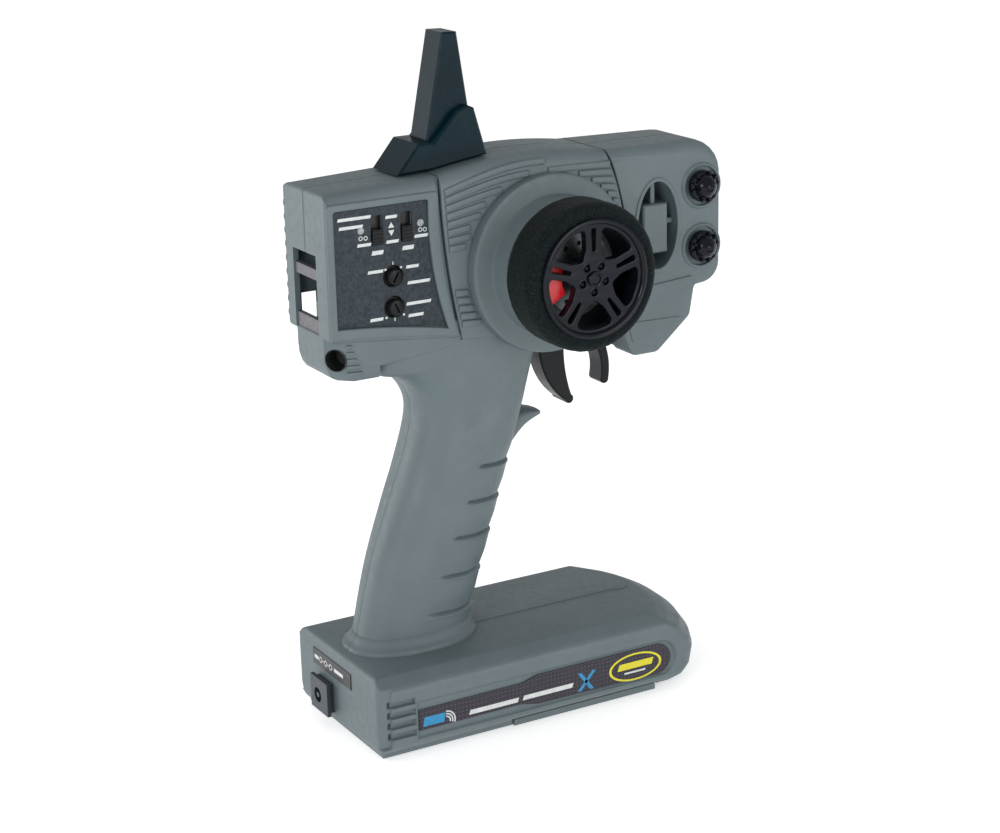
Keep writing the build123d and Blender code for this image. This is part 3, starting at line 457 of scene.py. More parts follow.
def between(table, key, column):
    """Smooth reading of a column of a table of rows, by the rows' first value."""
    rows = table
    for index in range(len(rows) - 1):
        low, high = rows[index], rows[index + 1]
        if key <= high[0] or index == len(rows) - 2:
            break
    before = rows[max(index - 1, 0)]
    after = rows[min(index + 2, len(rows) - 1)]
    span = high[0] - low[0]
    t = max(0.0, min(1.0, (key - low[0]) / span))
    slope_low = (high[column] - before[column]) / (high[0] - before[0])
    slope_high = (after[column] - low[column]) / (after[0] - low[0])
    a, b = low[column], high[column]
    return ((2 * t ** 3 - 3 * t ** 2 + 1) * a + (t ** 3 - 2 * t ** 2 + t) * span * slope_low
            + (-2 * t ** 3 + 3 * t ** 2) * b + (t ** 3 - t ** 2) * span * slope_high)


# ---------------------------------------------------------------- head mouldings
EDGE_R = 1.3               # rounding of the head's lower and upright edges
SHOULDER_R = 5.0           # rounding of its upper long edges
ROUND_STEPS = 7


def case_half(name, records, side, material, half=HEAD_HALF):
    """Half of a moulding parted at the middle plane, as an open tub with rounded edges.
    The tag of each edge is its rounding radius."""
    rings = []
    for step in range(ROUND_STEPS + 1):
        angle = pi / 2 * step / ROUND_STEPS
        ring = []
        for u, v, first, second, share in loop_of(records, lambda tag: tag * (1 - sin(angle))):
            radius = first + (second - first) * share
            ring.append((u, side * (half - radius * (1 - cos(angle))), v))
        rings.append(ring)
    for inset, y in ((0.0, 0.45), (0.3, SEAM_GAP), (WALL, SEAM_GAP), (WALL, half - WALL)):
        rings.append([(u, side * y, v) for u, v, *_ in loop_of(records, lambda tag: inset)])
    return skin(name, rings, material, sharp=28)


SHOULDER_FOOT = 190.8      # seams run straight above this height, through the rounded shoulders


def below_shoulder(points):
    return [point for point in points if point[1] < SHOULDER_FOOT]


def rear_records():
    """Rear box, from its rear lower corner round to the curved foot."""
    seam = below_shoulder(arc_through((-22.4, 140.7), (-27.3, 170), (-29.2, 197.1)))
    foot = arc_through((HEAD_REAR, 146.0), (-47, 143.5), (-22.4, 140.7), 14)
    records = corners(foot + seam, 0.0, EDGE_R)
    records[0] = (HEAD_REAR, 146.0, 1.5, EDGE_R)
    records.append((-29.2, 197.1, 0.6, SHOULDER_R))
    records.append((HEAD_REAR, 195.4, 1.6, EDGE_R))
    return records


def middle_records():
    """Middle of the head with its arched top; the grip takes over from its foot."""
    front_seam = below_shoulder(arc_through((42.0, 131.6), (43.1, 176), (36.4, 198.3)))
    top = arc_through((36.4, 198.3), (8, 200.7), (-28.7, 197.1))
    rear_seam = below_shoulder(arc_through((-28.7, 197.1), (-26.8, 170), (-21.8, 140.3), 16))
    records = corners(front_seam, 0.0, 0.4)
    records += corners(top, 0.0, SHOULDER_R)
    records += [(-28.7, 197.1, 0.0, 0.4)]
    records += corners(rear_seam, 0.0, 0.4)
    records += [(-21.8, 140.3, 0.0, 0.6), (2.0, 138.0, 4.0, 0.6), (9.0, 131.6, 4.0, EDGE_R)]
    return records


def front_records():
    """Front box, and the leg that guards the triggers."""
    seam = below_shoulder(arc_through((37.0, 198.3), (43.6, 176), (42.7, 131.6)))
    records = [(37.0, 198.3, 0.0, 0.4)] + corners(seam, 0.0, 0.4)
    records += [(42.7, 131.6, 0.0, EDGE_R), (46.4, 123.2, 4.0, EDGE_R), (57.5, 123.2, 3.5, EDGE_R),
                (71.4, 134.8, 3.5, EDGE_R), (73.4, 145.6, 1.5, EDGE_R), (HEAD_FRONT, 146.6, 7.4, EDGE_R),
                (HEAD_FRONT, 197.6, 11.0, SHOULDER_R)]
    return records


def panel_records():
    """Edge of the dark control label."""
    front = arc_through((-27.6, 145.4), (-32.4, 166), (-33.6, 189.8))
    foot = arc_through((-68.2, 150.6), (-48, 148.8), (-27.6, 145.4), 14)
    return corners(foot + front) + [(-33.6, 189.8, 0.8, 1.0), (-68.2, 189.6, 0.8, 1.0)]


rear_near = case_half("rear_box_right", rear_records(), NEAR, housing_grey)
rear_far = case_half("rear_box_left", rear_records(), FAR, housing_grey)
middle_near = case_half("head_middle_right", middle_records(), NEAR, housing_grey)
middle_far = case_half("head_middle_left", middle_records(), FAR, housing_grey)
front_near = case_half("front_box_right", front_records(), NEAR, housing_grey)
front_far = case_half("front_box_left", front_records(), FAR, housing_grey)

# recess for the control label, and the holes under it
LABEL_Y = 0.8
KNOB_HOLE_R, LAMP_HOLE_R, TRIM_RECESS_R, SHAFT_HOLE_R = 3.8, 1.4, 7.2, 9.0
SLOT_HALF = (2.2, 5.0)     # half width and half height of a reverse switch's slot
label_tool = plate("cutter", [flat_loop(panel_records(), -0.15)], SIDE, HEAD_HALF + 2, 2 + LABEL_Y + 0.4,
                   inner_black_and_bore_shade, 0.02, 0)
slot_tools = [bar_tool((x - SLOT_HALF[0], -20, SWITCH_Z - SLOT_HALF[1]),
                       (x + SLOT_HALF[0], -10, SWITCH_Z + SLOT_HALF[1]))
              for x in SWITCH_XS]
knob_tools = [drill(KNOB_HOLE_R, RATE_X, z) for z in RATE_ZS]
lamp_tools = [drill(LAMP_HOLE_R, x, LAMP_Z, count=24) for x in LAMP_XS]
cut(rear_near, label_tool, *slot_tools, *knob_tools, *lamp_tools)

# switch recess in the rear face, with a window through the far wall
RECESS_LOW = (-72.5, -7.7, 146.6)
RECESS_HIGH = (-61.4, 10.0, 174.0)
FAR_WINDOW = ((-66.6, 8.0, 147.0), (-60.4, 18.0, 156.6))
for moulding in (rear_near, rear_far):
    cut(moulding, bar_tool(RECESS_LOW, RECESS_HIGH), bar_tool(*FAR_WINDOW))

housed(rear_near, "rear_case_right")
housed(rear_far, "rear_case_left")

# oval window through the front box
oval_tool = plate("cutter", [oval()], SIDE, 20, 40, inner_black_and_bore_shade, 0.02, 0)
cut(front_far, oval_tool, keep=True)
trim_tools = [lathe("cutter", [(TRIM_RECESS_R, -20), (TRIM_RECESS_R, -15.6)], (TRIM_X, z), inner_black_and_bore_shade, 64,
                    hole=False) for z in TRIM_ZS]
cut(front_near, oval_tool, *trim_tools)
housed(front_near, "front_case_right")
housed(front_far, "front_case_left")

# slot for the triggers in the underside, channel in the leg, and the hole behind the wheel boss
TRIGGER_SLOT = ((12.7, -5.6, 124), (43.7, 5.6, 138))
LEG_CHANNEL = ((41.0, -5.6, 117), (49.6, 5.6, 139))
for moulding in (middle_near, middle_far):
    cut(moulding, bar_tool(*TRIGGER_SLOT))
for moulding in (front_near, front_far):
    cut(moulding, bar_tool(*LEG_CHANNEL))
cut(middle_near, drill(SHAFT_HOLE_R, WHEEL_X, WHEEL_Z, near=-22.0))
housed(middle_near, "housing_right")
housed(middle_far, "housing_left")


# ---------------------------------------------------------------- grip
# Stations up the grip: share, rear x and z, front x and z, half width, squareness of the section
GRIP = (
    (0.00, -59.8, 30.0, -16.4, 30.0, 13.8, 2.3),
    (0.16, -56.2, 46.6, -12.3, 47.0, 13.9, 2.35),
    (0.32, -52.0, 62.0, -7.6, 62.0, 14.2, 2.4),
    (0.48, -45.6, 79.4, -2.3, 80.0, 14.8, 2.45),
    (0.62, -39.4, 95.2, 2.6, 96.0, 15.1, 2.5),
    (0.76, -34.9, 110.0, 7.6, 112.0, 15.0, 2.6),
    (0.83, -35.0, 117.6, 9.6, 120.0, 14.8, 2.8),
    (0.89, -38.8, 124.4, 11.2, 127.0, 14.8, 3.2),
    (0.94, -45.5, 128.6, 12.4, 132.6, 15.0, 3.8),
    (0.97, -51.6, 130.8, 13.0, 136.8, 15.3, 4.8),
    (1.00, -52.6, 137.2, 13.0, 143.0, 15.4, 6.0),
)
GRIP_ROWS = 400
GRIP_POINTS = 128
# finger lines: height at the front, and x where the line dies out on the side
FINGER_LINES = ((92.0, -17.0), (79.7, -22.0), (67.3, -27.5), (53.8, -32.5), (40.6, -37.5))


def grip_relief(x, z):
    """Depth pressed into the grip's surface: finger lines and thumb hollow."""
    depth = 0.0
    for line_z, tail_x in FINGER_LINES:
        level = line_z + 0.9 * smooth((tail_x + 16 - x) / 16)
        fade = smooth((x - tail_x) / 3.5)
        above = z - level
        groove = 0.85 * exp(-(above / 0.50) ** 2)
        lip = 0.22 * exp(-((above + 0.95) / 0.45) ** 2)
        hollow = 0.55 * smooth(1 - above / 6.5) if above > 0 else 0
        depth += fade * (groove - lip + hollow)
    across = (x + 13.0) + 0.35 * (z - 112.0)
    up = (z - 112.0) - 0.45 * (x + 13.0)
    depth += 1.7 * exp(-(across / 9.0) ** 2 - (up / (9.5 if up > 0 else 5.5)) ** 2)
    return depth


def grip_ring(share, extra=0.0):
    rear_x, rear_z, front_x, front_z, half, square = (between(GRIP, share, column) for column in range(1, 7))
    middle, reach = (rear_x + front_x) / 2, (front_x - rear_x) / 2
    ring = []
    for k in range(GRIP_POINTS):
        angle = 2 * pi * k / GRIP_POINTS
        c, s = cos(angle), sin(angle)
        along = (abs(c) ** (2 / square)) * (1 if c > 0 else -1)
        across = (abs(s) ** (2 / square)) * (1 if s > 0 else -1)
        x = middle + (reach + extra) * along
        y = (half + extra) * across
        z = rear_z + (front_z - rear_z) * (along + 1) / 2
        depth = grip_relief(x, z) if extra == 0 else 0.0
        seam = 0.35 * exp(-(y / 0.35) ** 2)
        ring.append((x - (depth + seam) * along, y - depth * across, z))
    return ring


def grip_rings():
    """Rings from the skirt on the deck up to the head."""
    skirt = []
    for extra, z in ((3.0, 29.4), (3.0, 31.0), (2.7, 31.5), (2.0, 31.9), (1.1, 33.2), (0.4, 35.0)):
        share = (z - 30) / 17 * 0.16
        skirt.append([(x, y, z) for x, y, _ in grip_ring(max(share, 0.0), extra)])
    first = 0.05
    return skirt + [grip_ring(first + (1 - first) * row / GRIP_ROWS) for row in range(GRIP_ROWS + 1)]


def half_skin(name, rings, side, material):
    """The near or far half of closed rings, cut at the middle plane and capped there."""
    whole = skin(name, rings, material, sharp=40)
    mesh = bmesh.new()
    mesh.from_mesh(whole.data)
    plane = Vector((0, side * SEAM_GAP * MM, 0))
    geometry = mesh.verts[:] + mesh.edges[:] + mesh.faces[:]
    result = bmesh.ops.bisect_plane(mesh, geom=geometry, plane_co=plane, plane_no=Vector((0, -side, 0)),
            clear_outer=True)
    edges = [item for item in result["geom_cut"] if isinstance(item, bmesh.types.BMEdge)]
    bmesh.ops.contextual_create(mesh, geom=edges)
    mesh.to_mesh(whole.data)
    mesh.free()
    whole.data.shade_smooth()
    whole.data.set_sharp_from_angle(angle=radians(40))
    return whole


rings_of_grip = grip_rings()
for name, side, node in (("grip_right", NEAR, "housing_right"), ("grip_left", FAR, "housing_left")):
    housed(half_skin(name, rings_of_grip, side, housing_grey), node)


def spur_rings():
    """Finger spur: a tapering tongue with a flat top."""
    rings = []
    for x, top, low, half in ((-1.0, 108.2, 93.0, 8.6), (2.0, 108.0, 95.6, 8.2), (5.0, 107.9, 98.6, 7.4),
                              (8.0, 107.7, 100.8, 6.4), (11.0, 107.1, 102.2, 5.4), (14.0, 106.3, 103.1, 4.3),
                              (15.8, 105.5, 103.5, 3.3), (16.6, 104.8, 104.0, 2.2)):
        middle, reach = (top + low) / 2, (top - low) / 2
        ring = []
        for k in range(40):
            angle = 2 * pi * k / 40
            c, s = cos(angle), sin(angle)
            ring.append((x, half * abs(c) ** 0.75 * (1 if c > 0 else -1),
                         middle + reach * abs(s) ** 0.7 * (1 if s > 0 else -1)))
        rings.append(ring)
    return rings


housed(skin("finger_spur", spur_rings(), housing_grey, sharp=50))


# ---------------------------------------------------------------- details on the head
def strip(path, width):
    """A closed outline that follows a line of (u, v) points at a given width, with tapered ends."""
    left, right = [], []
    for index, (u, v) in enumerate(path):
        a = Vector(path[max(index - 1, 0)])
        b = Vector(path[min(index + 1, len(path) - 1)])
        along = (b - a).normalized()
        side = Vector((-along.y, along.x)) * width / 2
        left.append((u + side.x, v + side.y))
        right.append((u - side.x, v - side.y))
    return right + left[::-1]


BOSS_R = 31.1
BOSS_EDGE = BOSS_R + 0.2


def louvres():
    """Centre lines of the raised louvres above, below and ahead of the wheel boss."""
    made = []
    for index in range(8):
        start_z = 191.2 - LOUVRE_PITCH * index
        start_x = -27.2 + 0.16 * index
        rise = 6.4 - 0.75 * index
        path = []
        for k in range(19):
            x = start_x + 2.15 * k
            z = start_z + rise * sin(pi / 2 * min(1.0, (x - start_x) / 34.0))
            if hypot(x - WHEEL_X, z - WHEEL_Z) < BOSS_EDGE + 0.9:
                break
            path.append((x, z))
        if len(path) > 1:
            made.append(path)
    for index in range(5):
        z = 156.6 - LOUVRE_PITCH * index
        start_x = -24.2 + 0.55 * index
        reach = WHEEL_X - sqrt(BOSS_EDGE ** 2 - (z - WHEEL_Z) ** 2) - 0.6
        made.append([(start_x, z), ((start_x + reach) / 2, z - 0.1), (reach, z - 0.25)])
    for index in range(6):
        z = 194.2 - LOUVRE_PITCH * index
        start_x = WHEEL_X + sqrt(max(BOSS_EDGE ** 2 - (z - WHEEL_Z) ** 2, 0)) + 0.8
        end_x = 37.6 + 0.7 * index
        if end_x - start_x > 1:
            made.append([(start_x, z), ((start_x + end_x) / 2, z - 0.15), (end_x, z - 0.6)])
    return made


LOUVRE_PITCH = 2.75
for index, path in enumerate(louvres()):
    louvre = plate(f"louvre_{index:02d}", [strip(path, 2.3)], SIDE, HEAD_HALF + 0.8, 1.5, housing_grey, 0.6,
                   4)
    housed(louvre)


def frame_records():
    """Outer edge of the raised border round the control panel."""
    front = arc_through((-23.0, 141.6), (-28.4, 168), (-29.6, 192.4))
    foot = arc_through((-70.9, 146.9), (-48, 145.0), (-23.0, 141.6), 14)
    return corners(foot + front) + [(-29.6, 192.4, 1.6, 1.0), (-70.9, 192.2, 1.6, 1.0)]


border = plate("panel_border", [flat_loop(frame_records()), flat_loop(panel_records(), -0.12)], SIDE,
               HEAD_HALF + 0.75, 1.3, housing_grey, 0.6, 4)
housed(border)

# oval ring round the window
ring = plate("oval_ring", [oval(1.5), oval()], SIDE, HEAD_HALF + 0.45, 1.0, housing_grey, 0.4, 3)
housed(ring)

# tube that lines the window from one side of the box to the other
sleeve = plate("oval_sleeve", [oval(1.3), circle(OVAL_RX + 0.02, (OVAL_X, OVAL_Z), 72,
        squeeze=OVAL_RZ / OVAL_RX)],
               SIDE, HEAD_HALF - 0.3, 2 * HEAD_HALF - 0.6, housing_grey, 0.05, 1)
housed(sleeve)

# stepped foot of the leg: a thin raised cheek above the crease, and a lower one
LEG_STEPS = (
    ("leg_step_upper", ((44.2, 147.5), (44.6, 137.4), (50.5, 139.2), (57.5, 143.2), (65.0, 145.2),
                        (72.6, 146.2), (72.0, 149.5)), 0.5),
    ("leg_step_lower", ((44.6, 135.9), (46.6, 128.4), (57.0, 125.2), (69.4, 135.2)), 0.35),
)
for name, outline, rise in LEG_STEPS:
    step = plate(name, [flat_loop([(u, v, 1.2, 1.0) for u, v in outline])], SIDE, HEAD_HALF + rise, 1.2,
                 housing_grey, 0.34, 3)
    housed(step)

# wedge that fills the corner between the rear box and the grip, with the strap lug behind it
WEDGE_HALF = 15.6
wedge = plate("wedge", [flat_loop([(-63.4, 147.0, 0.5, 1.0), (-59.0, 135.9, 0.5, 1.0),
        (-52.7, 135.6, 0.5, 1.0), (-24.9, 138.1, 0.3, 1.0),
                                   (-20.5, 141.2, 0.3, 1.0), (-20.5, 147.0, 0.3, 1.0)])], SIDE, WEDGE_HALF,
              2 * WEDGE_HALF, housing_grey, 0.35, 3)
housed(wedge)
LUG_FACE = (-68.15, -13.15, 139.2)
LUG_OUT = Vector((-0.765, -0.644, 0.0))


def lug_rings():
    """Strap lug: a rounded tongue under the rear corners, with slanted corners behind."""
    rings = []
    for z, back, half, trim in ((131.2, -64.0, 12.8, 3.4), (131.5, -66.4, 14.2, 4.2),
                                (132.4, -68.0, 15.0, 4.9), (134.4, -69.4, 15.4, 5.2),
                                (137.5, -70.4, 15.5, 5.4), (141.0, -70.7, 15.5, 5.4),
                                (147.0, -70.7, 15.5, 5.4)):
        rings.append([(back, -half + trim, z), (back + trim, -half, z), (-52.8, -half, z),
                      (-52.8, half, z), (back + trim, half, z), (back, half - trim, z)])
    return rings


lug = skin("strap_lug", lug_rings(), housing_grey, sharp=30)
bore = lathe("cutter", [(3.9, -6.0), (3.9, 9.0)], (0, 0), inner_black_and_bore_shade, 40, hole=False)
bore_place = Matrix.Translation(Vector(LUG_FACE) * MM) @ LUG_OUT.to_track_quat("-Y", "Z").to_matrix().to_4x4()
bore.data.transform(bore_place)
cut(lug, bore, keep=True)
housed(lug)
# painted shade: a black cup lines the strap lug's blind bore, so the hole reads dark where shade falls
bore_shade_cup = lathe("lug_bore_painted_shade", [(0.0, 8.9), (3.88, 8.9), (3.88, 0.3), (3.6, 0.2), (3.6, 8.6), (0.0, 8.6)],
               (0, 0), inner_black_and_bore_shade, 40, hole=False)
bore_shade_cup.data.transform(bore_place)
placed(bore_shade_cup, "housing", "inner_plastic")
bpy.data.objects.remove(bore)
for index in range(5):
    rib_z = 134.6 + 2.35 * index
    rib = plate(f"lug_rib_{index}", [strip([(-65.2, rib_z), (-59.6 - 0.9 * index, rib_z - 0.3)], 1.25)],
                SIDE, WEDGE_HALF + 0.55, 1.2,
                housing_grey, 0.45, 3)
    housed(rib)

# rounded bumps down the far rear corner of the rear box
for index in range(9):
    bump_z = 150.5 + 4.7 * index
    knurl = lathe(f"corner_bump_{index}", [(0.0, 0.9), (0.8, 0.8), (1.3, 0.4), (1.5, -0.2), (1.3, -0.8),
            (0.0, -1.0)], (0, 0), housing_grey, 24, 60,
                  hole=False)
    knurl.data.transform(Matrix.Translation(Vector((HEAD_REAR + 0.75, HEAD_HALF - 0.75, bump_z)) * MM)
                         @ Matrix.Diagonal((0.62, 0.75, 1.25, 1.0)))
    housed(knurl)

for index, trim_z in enumerate(TRIM_ZS):
    lip = lathe(f"trim_lip_{index}", [(7.1, -15.7), (7.1, -16.9), (7.3, -17.15), (7.7, -17.2),
            (8.1, -16.95), (8.4, -16.4), (8.4, -15.7)],
                (TRIM_X, trim_z), housing_grey)
    housed(lip)

# ---------------------------------------------------------------- wheel boss
BOSS_Y, NECK_R, NECK_Y = -20.8, 24.0, -29.4
boss = lathe("wheel_boss_skin", [
    (BOSS_R - 0.5, -HEAD_HALF + 0.3), (BOSS_R, -HEAD_HALF - 0.2), (BOSS_R, BOSS_Y + 0.9),
                                 (BOSS_R - 0.3, BOSS_Y + 0.25), (BOSS_R - 0.9, BOSS_Y),
    (BOSS_R - 1.8, BOSS_Y - 0.1), (NECK_R + 1.6, BOSS_Y - 0.5), (NECK_R + 0.5, BOSS_Y - 0.9),
                                 (NECK_R, BOSS_Y - 1.8), (NECK_R - 0.2, NECK_Y + 1.2),
    (NECK_R - 0.6, NECK_Y + 0.4), (NECK_R - 1.4, NECK_Y), (3.1, NECK_Y), (3.1, -HEAD_HALF + 0.3)],
             (WHEEL_X, WHEEL_Z), housing_grey, 160, 30)
housed(boss, "wheel_boss")

# ---------------------------------------------------------------- steering wheel

def tyre():
    """Foam tyre with softly rounded shoulders and an uneven cut surface."""
    inner, outer = 19.5, TYRE_R - 0.15
    profile = [(inner, TYRE_BACK - 0.4), (inner + 2.0, TYRE_BACK - 0.2), (outer - 2.4, TYRE_BACK - 0.2)]
    for k in range(1, 9):
        angle = pi / 2 * k / 8
        profile.append((outer - 2.4 + 2.4 * sin(angle), TYRE_BACK - 0.2 - 2.4 * (1 - cos(angle))))
    for k in range(1, 26):
        profile.append((outer, TYRE_BACK - 2.6 + (TYRE_FRONT - TYRE_BACK + 5.9) * k / 26))
    for k in range(0, 9):
        angle = pi / 2 * k / 8
        profile.append((outer - 3.0 + 3.0 * cos(angle), TYRE_FRONT + 0.2 + 3.0 * (1 - sin(angle))))
    for k in range(1, 6):
        profile.append((outer - 3.0 + (inner - outer + 3.0) * k / 5, TYRE_FRONT + 0.2 + 0.06 * k))
    piece = lathe("foam_tyre_skin", profile, (WHEEL_X, WHEEL_Z), foam, 420, 60)
    for vertex in piece.data.vertices:
        spot = vertex.co / MM
        lump = noise.noise(spot * 1.3) * 0.10 + noise.noise(spot * 0.45) * 0.08
        vertex.co += vertex.normal * lump * MM
    return piece


tyre_piece = placed(tyre(), "steering_wheel", "foam", "foam_tyre")

RIM_FACE = -48.2
SPOKES = 5
rim_lip = lathe("rim_lip", [
    (19.4, -31.6), (19.4, -46.6), (20.1, -46.9), (20.4, -47.3), (20.35, -47.9), (19.9, RIM_FACE),
                            (19.3, RIM_FACE), (18.8, -47.9),
    (18.5, -47.2), (18.2, -46.4), (17.9, -45.8), (17.6, -44.0), (17.2, -38.0), (17.0, -31.6)],
                (WHEEL_X, WHEEL_Z), gloss_black, 160, 40)
placed(rim_lip, "steering_wheel", "rim_gloss", "wheel_rim")


def polar(radius, angle):
    return WHEEL_X + radius * cos(angle), WHEEL_Z + radius * sin(angle)


def spoke_window(index):
    """One of the large openings between two double spokes."""
    middle = radians(90 + 36 + 72 * index)
    spread = radians(25.0)
    rim = [polar(17.3, middle - spread + 2 * spread * k / 10) for k in range(11)]
    flank = radians(19.5)
    records = [(*rim[0], 1.4, 1.0)] + corners(rim[2:-2]) + [
        (*rim[-1], 1.4, 1.0), (*polar(10.6, middle + flank), 3.0, 1.0), (*polar(7.4, middle), 1.7, 1.0),
        (*polar(10.6, middle - flank), 3.0, 1.0)]
    return flat_loop(records)


def spoke_slot(index):
    """The tapering slot that parts a spoke in two."""
    middle = radians(90 + 72 * index)
    records = [(*polar(9.4, middle - radians(3.2)), 0.4, 1.0),
               (*polar(17.0, middle - radians(3.2)), 0.7, 1.0),
               (*polar(17.0, middle + radians(3.2)), 0.7, 1.0),
               (*polar(9.4, middle + radians(3.2)), 0.4, 1.0)]
    return flat_loop(records)


NUT_RING = 4.7
nut_places = [polar(NUT_RING, radians(54 + 72 * index)) for index in range(SPOKES)]
holes = [spoke_window(index) for index in range(SPOKES)] + [spoke_slot(index) for index in range(SPOKES)]
holes += [circle(1.25, place, 24) for place in nut_places]
spokes = plate("spoke_star", [circle(19.2, (WHEEL_X, WHEEL_Z), 120)] + holes, SIDE, 47.0, 3.4, gloss_black,
               0.5, 4, 50)
placed(spokes, "steering_wheel", "rim_gloss", "wheel_rim")

hub_back = lathe("hub_back", [(3.0, -33.5), (5.6, -33.5), (5.6, -43.9), (3.0, -43.9)], (WHEEL_X, WHEEL_Z),
                 satin_black, 64)
placed(hub_back, "steering_wheel", "rim_gloss", "wheel_rim")
for index, place in enumerate(nut_places):
    seat = lathe(f"nut_seat_{index}", [(1.2, -44.0), (1.2, -46.9), (1.35, -47.1), (1.6, -47.05),
            (1.7, -46.8), (1.7, -44.0)], place, gloss_black, 32)
    placed(seat, "steering_wheel", "rim_gloss")
    nut = lathe(f"lug_nut_{index}", [(0.0, -44.5), (0.85, -44.5), (0.85, -46.3), (0.6, -46.6), (0.3, -46.6),
            (0.25, -46.2), (0.0, -46.2)],
                place, gloss_black, 6, 20, hole=False)
    placed(nut, "steering_wheel", "rim_gloss", "lug_nuts")
cap = lathe("hub_cap_skin", [(0.0, -47.55), (0.7, -47.6), (1.3, -47.45), (1.6, -47.5), (1.9, -48.1),
                             (2.3, -48.15), (2.6, -47.9), (2.7, -47.2), (2.7, -46.4), (0.0, -46.4)],
            (WHEEL_X, WHEEL_Z), gloss_black, 64, 40, hole=False)
placed(cap, "steering_wheel", "rim_gloss", "hub_cap")


# ---------------------------------------------------------------- trim and rate knobs
def trim_knob(name, z, body, node):
    """Knob with a collar, a smaller dome with a dimple ring, and six grip nubs."""
    profile = [(1.6, -10.0), (1.6, -16.6), (5.4, -16.6), (5.6, -16.9), (5.6, -18.2), (5.3, -18.6),
               (4.6, -18.7), (4.3, -18.9)]
    for k in range(0, 9):
        angle = radians(66) * k / 8
        profile.append((4.3 * cos(angle) + 0.1 * k / 8, -19.0 - 3.7 * sin(angle)))
    profile += [(1.62, -22.55), (1.5, -22.3), (1.2, -22.1), (0.9, -22.3), (0.0, -22.35)]
    piece = lathe(name, profile, (TRIM_X, z), gloss_black, 72, 50, hole=False)
    placed(piece, body, "black_plastic", node)
    for k in range(6):
        angle = radians(12 + 60 * k)
        place = (TRIM_X + 5.1 * cos(angle), z + 5.1 * sin(angle))
        nub = lathe(f"{name}_nub_{k}", [(0.0, -17.6), (0.42, -17.7), (0.42, -19.0), (0.62, -19.3),
                (0.66, -19.7), (0.5, -20.1), (0.0, -20.25)],
                    place, gloss_black, 20, 60, hole=False)
        placed(nub, body, "black_plastic")
    for k in range(3):
        angle = radians(42 + 120 * k)
        spine = [(TRIM_X + reach * cos(angle), z + reach * sin(angle)) for reach in (4.2, 5.5)]
        fin = plate(f"{name}_fin_{k}", [strip(spine, 0.7)], SIDE, 20.6, 2.4, gloss_black, 0.2, 2)
        placed(fin, body, "black_plastic")


trim_knob("steering_trim_cap", TRIM_ZS[0], "steering_trim", "steering_trim_knob")
trim_knob("throttle_trim_cap", TRIM_ZS[1], "throttle_trim", "throttle_trim_knob")


def rate_knob(name, z, body, node, turn):
    piece = lathe(name, [(1.2, -9.0), (1.2, -13.4), (3.3, -13.4), (3.3, -14.6), (3.1, -14.9), (2.75, -15.0),
                         (2.7, -17.6), (2.5, -17.95), (2.2, -18.1), (0.0, -18.15)],
                  (RATE_X, z), satin_black, 56, 40, hole=False)
    groove = bar_tool((-0.38, -19, -1.9), (0.38, -17.2, 1.9))
    groove.data.transform(Matrix.Translation(Vector((RATE_X, 0, z)) * MM) @ Matrix.Rotation(radians(turn),
            4, "Y"))
    cut(piece, groove)
    placed(piece, body, "black_plastic", node)


rate_knob("steering_rate_cap", RATE_ZS[0], "steering_rate", "steering_rate_knob", 30)
rate_knob("throttle_rate_cap", RATE_ZS[1], "throttle_rate", "throttle_rate_knob", -25)


# ---------------------------------------------------------------- printed marks
PANEL_FACE = -corner_of("panel_label", 0).y
INK_RISE = 0.06


def mark(name, loops, facing, level, ink):
    """A thin printed mark on a label."""
    slot = "side_label" if name.startswith("film") else "panel"
    placed(plate(name, loops, facing, level + INK_RISE, 0.1, ink, 0.02, 0), "housing", slot)


def oblong(u, v, wide, tall, slant=0.0):
    return [(u, v), (u + wide, v), (u + wide + slant, v + tall), (u + slant, v + tall)]


# bars that stand for the legends: left end, lower edge, width
PANEL_BARS = ((-66.6, 186.0, 12.0), (-66.2, 183.2, 8.6), (-49.2, 185.0, 4.2), (-49.2, 176.7, 4.5),
              (-59.8, 176.8, 5.0),
              (-38.8, 177.3, 5.0), (-42.2, 167.4, 4.6), (-56.4, 167.3, 5.6), (-41.9, 161.9, 8.4),
              (-42.6, 154.8, 9.2),
              (-56.2, 151.1, 4.8), (-42.0, 150.7, 5.6))
for index, (u, v, wide) in enumerate(PANEL_BARS):
    mark(f"panel_bar_{index:02d}", [oblong(u, v + 0.15, wide, 1.05, 0.3)], SIDE, PANEL_FACE, white_ink)
for index, (u, v, wide) in enumerate(((-54.7, 173.6, 4.2), (-43.4, 173.9, 4.2))):
    mark(f"panel_bar_low_{index}", [oblong(u, v, wide, 1.4, 0.4)], SIDE, PANEL_FACE, white_ink)
mark("panel_up", [[(-48.2, 182.0), (-46.0, 182.0), (-47.1, 183.9)]], SIDE, PANEL_FACE, white_ink)
mark("panel_down", [[(-47.1, 179.3), (-46.0, 181.2), (-48.2, 181.2)]], SIDE, PANEL_FACE, white_ink)
for index, (u, v) in enumerate(((-44.0, 168.3), (-49.8, 168.2), (-50.1, 151.9), (-43.6, 152.1))):
    mark(f"panel_dot_{index}", [circle(0.42, (u, v), 20)], SIDE, PANEL_FACE, white_ink)
for index, (u, v) in enumerate(((-58.4, 179.8), (-56.6, 179.7), (-36.4, 180.0), (-34.7, 179.9))):
    mark(f"panel_ring_{index}", [circle(0.75, (u, v), 24), circle(0.48, (u, v), 24)], SIDE, PANEL_FACE,
         white_ink)
mark("panel_tick_up", [oblong(-47.15, 169.5, 0.35, 1.1)], SIDE, PANEL_FACE, white_ink)
mark("panel_tick_down", [oblong(-47.15, 150.4, 0.35, 1.1)], SIDE, PANEL_FACE, white_ink)

